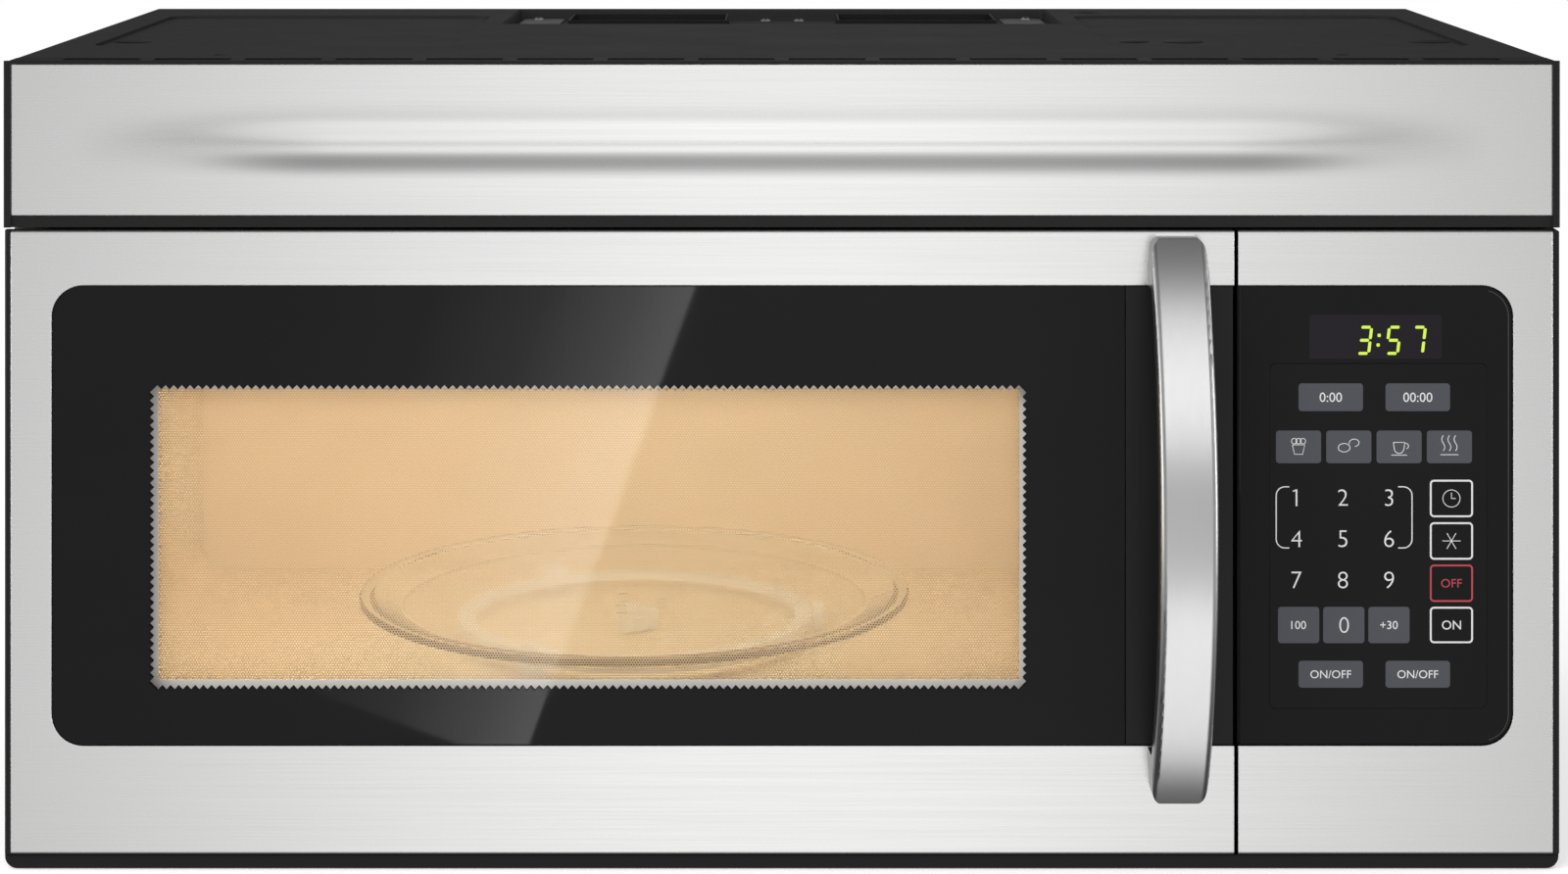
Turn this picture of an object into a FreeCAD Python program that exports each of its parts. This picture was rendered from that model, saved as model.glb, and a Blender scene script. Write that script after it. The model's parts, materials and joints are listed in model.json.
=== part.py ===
import FreeCAD, Part
import math
import os
from FreeCAD import Vector

# Over the range microwave: a wall-hung oven with a hood blower above its cavity and grease filters below.
# Frame: +Z up, +X to the user's right, the front faces -Y. The origin is the bottom centre of the wall face.
# All sizes are millimetres. Each size below is set by itself; the rest is worked out from them.

# ---- whole appliance
body_width = 759.0
body_height = 394.0
body_depth = 381.0
sheet = 0.8
gap = 0.3
run_fit = 0.05

# ---- front layout
lip_height = 6.6
vent_height = 81.2
control_width = 156.6
front_inset = 0.5
front_joint = 2.0
door_top_joint = 1.3
door_foot_joint = 0.6
skin_side_reveal = 3.4
skin_bend = 1.6
skin_return = 9.0
skin_seat = 0.2

# ---- base tray
base_corner = 6.0
base_front_setback = 2.5
intake_slot_length = 44.0
intake_slot_width = 4.0
intake_slot_pitch = 9.0
intake_slots = 9

# ---- outer case
case_top_setback = 22.0
case_bend = 3.0
front_plate_setback = 37.0
emboss_height = 1.6
emboss_inner_x = 170.0
emboss_side = 22.5
emboss_front_setback = 93.0
emboss_wall = 58.0
emboss_corner = 14.0
side_louvres = 10
side_louvre_length = 60.0
side_louvre_pitch = 11.0
side_louvre_width = 3.0
cabinet_bolt_span = 560.0
cabinet_bolt_setback = 38.0
cabinet_bolt_r = 3.5
wall_slot_span = 420.0
wall_slot_length = 46.0
wall_slot_half = 3.0
wall_slot_z = 24.0
back_flange = 12.0
back_rib_x = 100.0
back_rib_width = 80.0
back_rib_height = 120.0
back_rib_depth = 4.0
back_rib_corner = 20.0

# ---- oven cavity
cavity_left = 34.0
bay_width = 195.0
cavity_floor = 62.0
hood_room = 108.0
cavity_inner_depth = 320.0
cavity_corner = 14.0
ceiling_rib_depth = 3.0
ceiling_rib_half = 9.0
ceiling_rib_inset = 60.0
oven_lamp_setback = 70.0
oven_lamp_drop = 40.0

# ---- vent grille and charcoal filter
grille_wall = 2.0
grille_slot_pitch = 44.5
grille_slot_rib = 7.0
grille_slot_depth = 11.0
panel_sheet = 1.0
panel_side_reveal = 3.7
panel_foot_reveal = 5.9
panel_top_reveal = 1.7
panel_back_step = 2.8
wave_rise = 3.6
wave_height = 22.0
wave_centre = 33.0
charcoal_width = 400.0
charcoal_height = 62.0
charcoal_thick = 12.0
charcoal_sill = 6.0

# ---- door
door_thickness = 35.0
door_back_round = 15.0
hinge_inset_x = 9.5
hinge_inset_y = 18.0
hinge_pin_r = 3.0
hinge_pin_length = 14.0
hinge_leaf = 2.0
hinge_leaf_r = 8.4
hinge_leaf_drop = 1.0
hinge_notch = 5.0
hinge_notch_front = 6.4
hinge_plate_height = 32.0
glass_left = 23.5
glass_top = 27.0
glass_foot = 53.5
glass_corner = 15.3
glass_thick = 3.2
glass_sink = 0.4
trim_width = 53.2
hat_left = 49.0
hat_right = 68.4
hat_foot = 72.8
hat_top = 45.5
hat_depth = 25.0
hat_corner = 16.0
seal_left = 17.0
seal_right = 14.4
seal_foot = 32.8
seal_top = 4.5
seal_corner = 10.0
choke_fold = 16.0
window_left = 72.7
window_right = 102.9
window_foot = 82.1
window_top = 77.4
window_clear = 3.5
screen_hem = 4.5
screen_thick = 0.6
pane_thick = 2.0

# ---- door handle
handle_width = 27.5
handle_centre = 28.4
handle_foot = 28.8
handle_head = 2.5
handle_proud = 57.0
handle_end_depth = 12.0
handle_thick = 9.5
handle_foot_length = 24.0
handle_edge = 3.2
handle_corner_x = 4.2
handle_corner_z = 15.0
screw_r = 2.5
screw_head_r = 4.6
screw_head = 2.6
screw_bite = 0.4
screw_reach = 8.0

# ---- latch and interlock
latch_bar_width = 6.0
latch_bar_depth = 5.0
latch_bar_inset = 4.9
latch_bar_front = 18.0
latch_foot = 96.0
latch_bar_length = 150.0
latch_hook_height = 10.0
latch_hook_reach = 22.0
latch_nose = 3.0
latch_travel = 4.0
latch_slot_side = 3.0
spring_r = 2.6
spring_wire = 0.5
spring_length = 14.0
spring_turns = 6
latch_board_thick = 4.0
switch_width = 8.0
switch_height = 16.0
switch_depth = 20.0

# ---- control panel
control_thickness = 34.0
key_rise = 0.2
key_sheet = 0.4
key_corner = 1.6
key_left = 18.4
key_wide = 31.4
key_wide_left = 29.4
key_wide_step = 42.4
key_icon = 22.0
key_icon_step = 24.5
key_square = 21.0
key_square_left = 93.4
key_grey = 20.1
key_grey_left = 19.4
key_grey_step = 22.0
key_head_room = 47.5
key_tail_room = 28.0
key_row_heights = (13.4, 15.8, 18.1, 18.1, 18.1, 17.6, 13.0)
key_row_gaps = (9.5, 8.1, 2.4, 2.4, 2.4, 8.6)
keypad_side = 3.0
keypad_right = 12.0
keypad_head = 38.0
keypad_tail = 18.0
display_left = 34.7
display_width = 64.5
display_height = 21.5
display_drop = 41.0
board_left = 16.0
board_width = 118.0
board_height = 218.0
board_thick = 1.6
board_back = 8.0
post_r = 4.0
relay_width = 16.0
relay_height = 22.0
relay_pitch = 24.0
relay_foot = 20.0
supply_width = 36.0
supply_height = 32.0
supply_depth = 22.0
supply_left = 70.0
supply_foot = 60.0
beeper_r = 8.0
beeper_height = 7.0
beeper_foot = 120.0
plug_length = 40.0
plug_height = 8.0
plug_depth = 9.0
plug_foot = 150.0

# ---- turntable
tray_r = 150.0
tray_glass = 5.0
tray_rim = 9.0
tray_hub_r = 22.0
coupler_r = 13.0
coupler_height = 7.0
motor_shaft_r = 3.5
turntable_motor_r = 24.0
turntable_motor_height = 14.0
roller_r = 8.0
roller_width = 6.0
roller_track = 100.0
roller_axle_r = 2.0
ring_width = 9.0
ring_height = 4.0
roller_count = 3

# ---- blower
blower_outlet_width = 92.0
blower_outlet_depth = 55.0
blower_outlet_inner_x = 32.0
blower_outlet_wall = 29.0
blower_wall = 1.2
scroll_start = 37.0
scroll_end = 54.0
scroll_floor_gap = 5.0
wheel_r = 33.0
wheel_blade = 7.0
wheel_side_gap = 4.0
wheel_disc = 1.6
blade_thick = 0.9
blades = 22
blower_shaft_r = 4.0
blower_motor_r = 26.0
blower_motor_half = 26.0
blower_plate_half = 158.0
blower_plate_drop = 6.0
blower_plate_depth = 121.0
blower_plate_back = 6.0
inlet_r = 28.0

# ---- cooling fan
fan_r = 42.0
fan_hub_r = 12.0
fan_depth = 16.0
fan_blades = 5
fan_blade_thick = 1.4
fan_tip_gap = 2.0
fan_centre_x = 96.0
fan_centre_z = 190.0
fan_wall_setback = 46.0
fan_motor_size = 46.0
fan_shaft_r = 2.5
shroud_size = 104.0
shroud_depth = 22.0

# ---- microwave power pieces in the bay on the right
waveguide_depth = 40.0
waveguide_width = 84.0
waveguide_height = 130.0
waveguide_foot = 130.0
waveguide_setback = 196.0
magnetron_width = 92.0
magnetron_height = 78.0
magnetron_length = 66.0
magnetron_fins = 7
fin_thick = 1.2
mica_width = 112.0
mica_height = 78.0
mica_thick = 0.6
transformer_length = 96.0
transformer_depth = 76.0
transformer_height = 78.0
transformer_right = 24.0
transformer_back = 84.0
coil_round = 12.0
capacitor_length = 96.0
capacitor_height = 52.0
capacitor_depth = 32.0
capacitor_setback = 60.0
filter_board_length = 80.0
filter_board_height = 40.0
filter_board_left = 50.0
filter_board_drop = 120.0
filter_board_stand = 14.0
filter_choke_r = 11.0
filter_choke_height = 15.0
fuse_r = 3.2
fuse_length = 30.0

# ---- grease filters, cooktop lamps and their cover
filter_bay_gap = 0.5
filter_depth = 162.0
filter_thick = 9.0
filter_inner_x = 8.0
filter_setback = 145.0
filter_edge = 6.0
filter_frame = 10.0
filter_slide = 8.0
rail_wall = 2.5
rail_lip = 8.0
lamp_opening_half = 56.0
lamp_opening_depth = 76.0
lamp_setback = 52.0
lamp_house_height = 44.0
lamp_cover_thick = 2.0
lamp_cover_lift = 0.6
lamp_hinge_r = 2.0
lamp_hinge_z = 4.2
lamp_hinge_back = 4.6
lamp_pin_r = 1.2
lamp_span = 56.0
bulb_r = 11.0
bulb_drop = 15.0
bulb_neck_r = 7.0
socket_r = 12.0
socket_length = 18.0

# ---- cord gland
gland_x = 181.0
gland_wall = 36.0
gland_bore_r = 6.0
gland_r = 11.0
gland_height = 5.0
gland_flange = 2.0

# ---- places that follow from the sizes above
half_width = body_width / 2
front = -body_depth
plate_front = front + front_plate_setback
plate_back = plate_front + sheet
door_x0 = -half_width + front_inset
control_x1 = half_width - front_inset
control_x0 = control_x1 - control_width
door_x1 = control_x0 - front_joint
door_z0 = lip_height + door_foot_joint
vent_z0 = body_height - vent_height
door_z1 = vent_z0 - door_top_joint
door_back = front + door_thickness - 1.0
hinge_x = door_x0 + hinge_inset_x
hinge_y = front + hinge_inset_y
cavity_x0 = -half_width + cavity_left
cavity_x1 = half_width - bay_width
cavity_z1 = body_height - hood_room
cavity_y1 = plate_back + cavity_inner_depth
table_x = (cavity_x0 + cavity_x1) / 2
table_y = (plate_back + cavity_y1) / 2
glass_x0 = door_x0 + glass_left
glass_x1 = door_x1 - trim_width
glass_z0 = door_z0 + glass_foot
glass_z1 = door_z1 - glass_top
glass_y0 = front + glass_sink
glass_y1 = glass_y0 + glass_thick
hat_x0 = door_x0 + hat_left
hat_x1 = door_x1 - hat_right
hat_z0 = door_z0 + hat_foot
hat_z1 = door_z1 - hat_top
seal_x0 = door_x0 + seal_left
seal_x1 = door_x1 - seal_right
seal_z0 = door_z0 + seal_foot
seal_z1 = door_z1 - seal_top
window_x0 = door_x0 + window_left
window_x1 = door_x1 - window_right
window_z0 = door_z0 + window_foot
window_z1 = door_z1 - window_top
bay_x0 = cavity_x1 + sheet
filter_width = cavity_x1 - filter_bay_gap - filter_inner_x
blower_plate_y0 = -blower_plate_back - blower_plate_depth
outlet_y1 = -blower_outlet_wall
outlet_y0 = outlet_y1 - blower_outlet_depth
oven_lamp_y = plate_back + oven_lamp_setback
oven_lamp_z = cavity_z1 - oven_lamp_drop


# ---- small tools for shapes
def at(plane, u, v, w):
    """A point of a drawing plane: u and v lie in it, w is its distance along the plane's own axis."""
    if plane == "xy":
        return Vector(u, v, w)
    if plane == "xz":
        return Vector(u, w, v)
    return Vector(w, u, v)


def rounded_wire(plane, corners, w):
    """A closed outline. Each corner is (u, v, radius), and a radius of 0 leaves it sharp."""
    points = [at(plane, u, v, w) for u, v, radius in corners]
    ends = []
    arcs = []
    for index, (u, v, radius) in enumerate(corners):
        here = points[index]
        back = (points[index - 1] - here).normalize()
        ahead = (points[(index + 1) % len(points)] - here).normalize()
        if radius <= 0:
            ends.append((here, here))
            arcs.append(None)
            continue
        half = back.getAngle(ahead) / 2
        start = here + back * (radius / math.tan(half))
        end = here + ahead * (radius / math.tan(half))
        centre = here + (back + ahead).normalize() * (radius / math.sin(half))
        middle = centre + (here - centre).normalize() * radius
        ends.append((start, end))
        arcs.append(Part.Arc(start, middle, end).toShape())
    edges = []
    for index, (start, end) in enumerate(ends):
        if arcs[index]:
            edges.append(arcs[index])
        following = ends[(index + 1) % len(ends)][0]
        if (following - end).Length > 1e-6:
            edges.append(Part.makeLine(end, following))
    return Part.Wire(edges)


def prism(plane, corners, w0, w1):
    """An outline of rounded corners, raised from w0 to w1 along the plane's own axis."""
    face = Part.Face(rounded_wire(plane, corners, w0))
    return face.extrude(at(plane, 0, 0, w1 - w0))


def rect(u0, u1, v0, v1, radius=0):
    """The four corners of a rectangle, all with one radius."""
    return [(u0, v0, radius), (u1, v0, radius), (u1, v1, radius), (u0, v1, radius)]


def box(x0, x1, y0, y1, z0, z1):
    return Part.makeBox(x1 - x0, y1 - y0, z1 - z0, Vector(x0, y0, z0))


def rod(axis, radius, u, v, w0, w1):
    """A round bar along x, y or z. u and v are its place in the other two directions, in x, y, z order."""
    start = {"x": Vector(w0, u, v), "y": Vector(u, w0, v), "z": Vector(u, v, w0)}[axis]
    way = {"x": Vector(1, 0, 0), "y": Vector(0, 1, 0), "z": Vector(0, 0, 1)}[axis]
    return Part.makeCylinder(radius, w1 - w0, start, way)


def join(first, *others):
    """One solid from pieces that touch or overlap, with no seams left on flat faces."""
    return first.fuse(list(others)).removeSplitter()


def cut(solid, *tools):
    return solid.cut(list(tools))


def mirrored(shape):
    """The same piece on the other side of the appliance."""
    return shape.mirror(Vector(0, 0, 0), Vector(1, 0, 0))


def spread(shape, step, count):
    """Copies of a shape, one step apart."""
    copies = []
    for index in range(count):
        copy = shape.copy()
        copy.translate(step * index)
        copies.append(copy)
    return copies


def around(shape, centre, axis, count):
    """Copies of a shape turned evenly about an axis."""
    copies = []
    for index in range(count):
        copy = shape.copy()
        copy.rotate(centre, axis, 360.0 * index / count)
        copies.append(copy)
    return copies


def slots(plane, length, width, w0, w1, u, v, step, count):
    """A row of straight slots with round ends, long in u, centred on u and v."""
    half_u = length / 2
    half_v = width / 2
    one = prism(plane, rect(u - half_u, u + half_u, v - half_v, v + half_v, half_v * 0.98), w0, w1)
    return spread(one, step, count)


# ---- case, back, base
def outer_case():
    """Painted steel wrap over top and sides, with embossed panels, louvres and the blower cut-out."""
    top = body_height
    y0 = front + case_top_setback
    wrap = prism("xz", [(-half_width, lip_height, 0), (half_width, lip_height, 0),
                        (half_width, top, case_bend), (-half_width, top, case_bend)], y0, 0)
    inner = prism("xz", [(-half_width + sheet, 0, 0), (half_width - sheet, 0, 0),
                         (half_width - sheet, top - sheet, case_bend - sheet),
                         (-half_width + sheet, top - sheet, case_bend - sheet)], y0 - 1, 1)
    door_room = box(-half_width - 1, half_width + 1, y0 - 1, plate_back, 0, vent_z0)
    blower_x = blower_plate_half + gap
    blower_room = box(-blower_x, blower_x, blower_plate_y0 - gap, -blower_plate_back + gap, top - 9, top + 1)
    case = cut(wrap, inner, door_room, blower_room)
    emboss_y0 = front + emboss_front_setback
    emboss_y1 = -emboss_wall
    emboss_x1 = half_width - emboss_side
    panel = rect(emboss_inner_x, emboss_x1, emboss_y0, emboss_y1, emboss_corner)
    pressed = [prism("xy", panel, top - emboss_height, top + 1)]
    dish = [prism("xy", rect(emboss_inner_x - sheet, emboss_x1 + sheet, emboss_y0 - sheet, emboss_y1 + sheet,
                             emboss_corner + sheet), top - emboss_height - sheet, top - sheet)]
    for shapes in (pressed, dish):
        shapes.append(mirrored(shapes[0]))
    case = cut(join(case, *dish), *pressed)
    bolts = [rod("z", cabinet_bolt_r, side * cabinet_bolt_span / 2, front + cabinet_bolt_setback, top - 3,
                 top + 1)
             for side in (-1, 1)]
    gland = rod("z", gland_r + run_fit, gland_x, -gland_wall, top - 9, top + 1)
    louvres = slots("yz", side_louvre_length, side_louvre_width, half_width - 3, half_width + 1,
                    front / 2, body_height / 3, Vector(0, 0, side_louvre_pitch), side_louvres)
    return cut(case, gland, *bolts, *louvres)


def back_plate():
    """Rear steel plate with a turned edge, the slots that hang on the wall plate and two stiffening ribs."""
    edge = half_width - sheet - gap
    top = body_height - sheet - gap
    plate = prism("xz", rect(-edge, edge, lip_height, top, 2), -sheet, 0)
    flange = prism("xz", rect(-edge, edge, lip_height, top, 2), -back_flange, 0)
    inside = prism("xz", rect(-edge + sheet, edge - sheet, lip_height + sheet, top - sheet, 1.2),
                   -back_flange - 1, 1)
    flange = cut(flange, inside)
    plate = join(plate, flange)
    hangers = [prism("xz", rect(side * wall_slot_span / 2 - wall_slot_length / 2,
                                side * wall_slot_span / 2 + wall_slot_length / 2,
                                wall_slot_z - wall_slot_half, wall_slot_z + wall_slot_half,
                                wall_slot_half * 0.999), -2, 1) for side in (-1, 1)]
    blower_x = blower_plate_half + 2
    blower_room = box(-blower_x, blower_x, -back_flange - 1, -sheet, top - back_flange, top + 1)
    ribs = [prism("xz", back_rib_outline(side, 0), -sheet - back_rib_depth, 0) for side in (-1, 1)]
    pockets = [prism("xz", back_rib_outline(side, -sheet), -back_rib_depth, 1) for side in (-1, 1)]
    return cut(join(plate, *ribs), blower_room, *hangers, *pockets)


def back_rib_outline(side, grow):
    """One of the two pressed fields of the back plate, level with the middle of the cavity."""
    x = side * back_rib_x
    z = (cavity_floor + cavity_z1) / 2
    half_x = back_rib_width / 2 + grow
    half_z = back_rib_height / 2 + grow
    return rect(x - half_x, x + half_x, z - half_z, z + half_z, back_rib_corner + grow)


def base_openings():
    """Outlines of the two grease filter openings and the lamp opening, as x0, x1, y0, y1."""
    y0 = front + filter_setback
    right = (filter_inner_x + filter_edge, filter_inner_x + filter_width - filter_edge - filter_slide,
             y0 + filter_edge, y0 + filter_depth - filter_edge)
    left = (-right[1], -right[0], right[2], right[3])
    lamp_y0 = front + lamp_setback
    lamp = (-lamp_opening_half, lamp_opening_half, lamp_y0, lamp_y0 + lamp_opening_depth)
    return right, left, lamp


def base_plate():
    """Shallow steel tray under the oven: front lip, filter rails, lamp hinge ears and cooling slots."""
    y0 = front + base_front_setback
    outer = [(-half_width + front_inset, 0, base_corner), (half_width - front_inset, 0, base_corner),
             (half_width - front_inset, lip_height, 0), (-half_width + front_inset, lip_height, 0)]
    tray = prism("xz", outer, y0, 0)
    inner_x = half_width - front_inset - sheet
    inner = [(-inner_x, sheet, base_corner - sheet), (inner_x, sheet, base_corner - sheet),
             (inner_x, lip_height + 1, 0), (-inner_x, lip_height + 1, 0)]
    tray = cut(tray, prism("xz", inner, y0 + sheet, -sheet))
    right, left, lamp = base_openings()
    holes = [prism("xy", rect(*edges, 4), -1, sheet + 1) for edges in (right, left)]
    holes.append(prism("xy", rect(*lamp, 2), -1, sheet + 1))
    rails = []
    rail_y0 = front + filter_setback
    rail_top = sheet + gap + filter_thick + gap
    for rail_y, way in ((rail_y0 - gap, -1), (rail_y0 + filter_depth + gap, 1)):
        web = sorted((rail_y, rail_y + way * rail_wall))
        lip = sorted((rail_y + way * rail_wall, rail_y - way * rail_lip))
        rails.append(box(filter_inner_x, filter_inner_x + filter_width, *web, 0, rail_top + 1.5))
        rails.append(box(filter_inner_x, filter_inner_x + filter_width, *lip, rail_top, rail_top + 1.5))
    rails += [mirrored(rail) for rail in rails]
    ears = []
    lamp_axis_y = lamp[3] - lamp_hinge_back
    for side in (-1, 1):
        ear_x = sorted((side * (lamp_opening_half + 3), side * lamp_opening_half))
        ear = prism("yz", rect(lamp_axis_y - 4, lamp_axis_y + 4, 0, lamp_hinge_z + 3.5, 1), *ear_x)
        pin_x = sorted((side * (lamp_opening_half - 8), side * (lamp_opening_half + 1)))
        ears.append(join(ear, rod("x", lamp_pin_r, lamp_axis_y, lamp_hinge_z, *pin_x)))
    intake = slots("xy", intake_slot_length, intake_slot_width, -1, 2, half_width - 42, front + 120,
                   Vector(0, intake_slot_pitch, 0), intake_slots)
    intake += [mirrored(slot) for slot in intake]
    tray = cut(tray, *holes, *intake)
    return join(tray, *rails, *ears)


# ---- oven cavity
def cavity_shell(grow):
    """Outline of the cavity's inside in front view, made larger by grow."""
    return rect(cavity_x0 - grow, cavity_x1 + grow, cavity_floor - grow, cavity_z1 + grow,
                cavity_corner + grow)


def oven_cavity():
    """Pressed steel box: round corners, a flat floor for the rollers, ceiling ribs and the feed opening."""
    outer = prism("xz", cavity_shell(sheet), plate_back, cavity_y1 + sheet)
    inner = prism("xz", cavity_shell(0), plate_back - 1, cavity_y1)
    ribs_in = []
    ribs_out = []
    for share in (0.28, 0.5, 0.72):
        y = plate_back + cavity_inner_depth * share
        ribs_in.append(prism("xy", ceiling_rib(y, 0), cavity_z1 - 1, cavity_z1 + ceiling_rib_depth))
        ribs_out.append(prism("xy", ceiling_rib(y, sheet), cavity_z1, cavity_z1 + ceiling_rib_depth + sheet))
    shell = join(outer, *ribs_out)
    feed = prism("yz", feed_outline(-10), cavity_x1 - 2, cavity_x1 + 2)
    shaft_hole = rod("z", 8, table_x, table_y, cavity_floor - 3, cavity_floor + 3)
    lamp_holes = [rod("x", 2.2, oven_lamp_y + step, oven_lamp_z, cavity_x1 - 2, cavity_x1 + 2)
                  for step in (-7, 0, 7)]
    return cut(shell, inner, *ribs_in, feed, shaft_hole, *lamp_holes)


def ceiling_rib(y, grow):
    """A long rib of the ceiling in plan."""
    inset = ceiling_rib_inset - grow
    half = ceiling_rib_half + grow
    return rect(cavity_x0 + inset, cavity_x1 - inset, y - half, y + half, half - 0.1)


def feed_outline(grow):
    """The feed opening in the right cavity wall, seen from the side."""
    y0 = front + waveguide_setback - mica_width / 2
    z0 = waveguide_foot + 16
    return rect(y0 - grow, y0 + mica_width + grow, z0 - grow, z0 + mica_height + grow, 8)


def cavity_front_plate():
    """Steel front frame round the cavity mouth, with latch slots, the vent window and the control opening."""
    edge = half_width - front_inset - sheet - gap
    plate = prism("xz", rect(-edge, edge, sheet, body_height - sheet - gap, base_corner), plate_front,
                  plate_back)
    mouth = prism("xz", cavity_shell(0), plate_front - 1, plate_back + 1)
    vent_x = charcoal_width / 2 - 8
    vent_base = vent_z0 + charcoal_sill + 8
    vent = prism("xz", rect(-vent_x, vent_x, vent_base, vent_base + charcoal_height - 16, 6),
                 plate_front - 1, plate_back + 1)
    board_x0 = control_x0 + board_left
    control = prism("xz", rect(board_x0, control_x1 - 12, door_z0 + 14, door_z1 - 14, 8),
                    plate_front - 1, plate_back + 1)
    return cut(plate, mouth, vent, control, *[latch_slot(z, 1.0) for z in latch_hook_feet()])


def latch_hook_feet():
    """Lower edge of the two hooks on the latch bar."""
    low = latch_foot + 4
    return low, latch_foot + latch_bar_length - latch_hook_height - 4


def latch_x():
    """Left and right face of the latch bar."""
    x1 = door_x1 - latch_bar_inset
    return x1 - latch_bar_width, x1


def latch_slot(z, room):
    """The room that one hook needs through the front plate, over its travel and the door's swing."""
    x0, x1 = latch_x()
    return box(x0 - room, x1 + room + latch_slot_side, plate_front - 1, plate_back + 1,
               z - latch_nose - room, z + latch_hook_height + latch_travel + room)


# ---- vent grille
def vent_grille_frame():
    """Black moulded vent housing over the door: a shell that is open behind, with slots in its top."""
    y0 = front + panel_back_step
    y1 = front + case_top_setback - gap
    z0, z1 = vent_z0, body_height
    outer = prism("xz", rect(-half_width, half_width, z0, z1, 2.5), y0, y1)
    inner = prism("xz", rect(-half_width + grille_wall, half_width - grille_wall, z0 + grille_wall,
                             z1 - grille_wall, 1),
                  y0 + grille_wall, y1 + 1)
    shelf_x = half_width - sheet - gap
    shelf = box(-shelf_x, shelf_x, y1 - 2, plate_front, z0, z0 + grille_wall)
    frame = join(cut(outer, inner), shelf)
    side_cheek = box(-half_width, -half_width + panel_side_reveal, front + 0.6, y0 + 1, z0, z1)
    cheeks = [side_cheek, mirrored(side_cheek)]
    brow = box(-half_width, half_width, front + 0.6, y0 + 1, z1 - panel_top_reveal + 0.2, z1)
    sill = box(-half_width, half_width, front + 2, y0 + 1, z0, z0 + panel_foot_reveal - 0.2)
    frame = join(frame, *cheeks, brow, sill)
    rails = [edge for edge in frame.Edges if on_outer_corner(edge)]
    frame = frame.makeFillet(1.2, rails)
    slot_y0 = y0 + grille_wall + 2
    pitches = int((body_width - 40) / grille_slot_pitch)
    start = -pitches * grille_slot_pitch / 2
    openings = []
    for index in range(pitches):
        x0 = start + index * grille_slot_pitch + grille_slot_rib / 2
        x1 = x0 + grille_slot_pitch - grille_slot_rib
        openings.append(box(x0, x1, slot_y0, slot_y0 + grille_slot_depth, z1 - grille_wall - 1, z1 + 1))
    return cut(frame, *openings)


def on_outer_corner(edge):
    """True for the two upright front edges of the vent housing."""
    ends = [vertex.Point for vertex in edge.Vertexes]
    if len(ends) != 2:
        return False
    upright = abs(ends[0].z - ends[1].z) > vent_height / 2
    outside = all(abs(abs(point.x) - half_width) < 0.01 for point in ends)
    forward = all(point.y < front + 1 for point in ends)
    return upright and outside and forward


def wave_section(x, share):
    """One upright section of the vent panel: flat at both ends, with a share of the full roll between them."""
    z0 = vent_z0 + panel_foot_reveal
    z1 = body_height - panel_top_reveal
    centre = z0 + wave_centre
    steps = (z0, centre - wave_height, centre - 0.5 * wave_height, centre, centre + 0.5 * wave_height,
             centre + wave_height, z1)
    sides = []
    for back in (0, panel_sheet):
        points = []
        for z in steps:
            near = math.exp(-((z - centre) / (wave_height * 0.55)) ** 2)
            points.append(Vector(x, front + 1.2 - wave_rise * share * near + back, z))
        curve = Part.BSplineCurve()
        curve.interpolate(points)
        sides.append((curve.toShape(), points))
    (face, face_points), (rear, rear_points) = sides
    foot = Part.makeLine(face_points[0], rear_points[0])
    head = Part.makeLine(face_points[-1], rear_points[-1])
    return Part.Wire([face, head, rear, foot])


def vent_panel():
    """Stainless panel on the vent housing, with a soft horizontal roll that fades out towards both ends."""
    half = half_width - panel_side_reveal
    stations = (-1.0, -0.8, -0.45, 0.0, 0.45, 0.8, 1.0)
    sections = []
    for station in stations:
        share = math.cos(station * math.pi / 2) ** 1.3 if abs(station) < 1 else 0.0
        sections.append(wave_section(station * half, share))
    return Part.makeLoft(sections, True, False)


def charcoal_filter():
    """Cartridge in front of the vent window: a frame with a pleated pad between its edges."""
    x = charcoal_width / 2
    z0 = vent_z0 + grille_wall + gap
    y1 = plate_front - gap
    y0 = y1 - charcoal_thick
    frame = prism("xz", rect(-x, x, z0, z0 + charcoal_height, 4), y0, y1)
    field = rect(-x + 8, x - 8, z0 + 8, z0 + charcoal_height - 8, 2)
    recesses = [prism("xz", field, y0 - 1, y0 + 2), prism("xz", field, y1 - 2, y1 + 1)]
    return cut(frame, *recesses)


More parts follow.
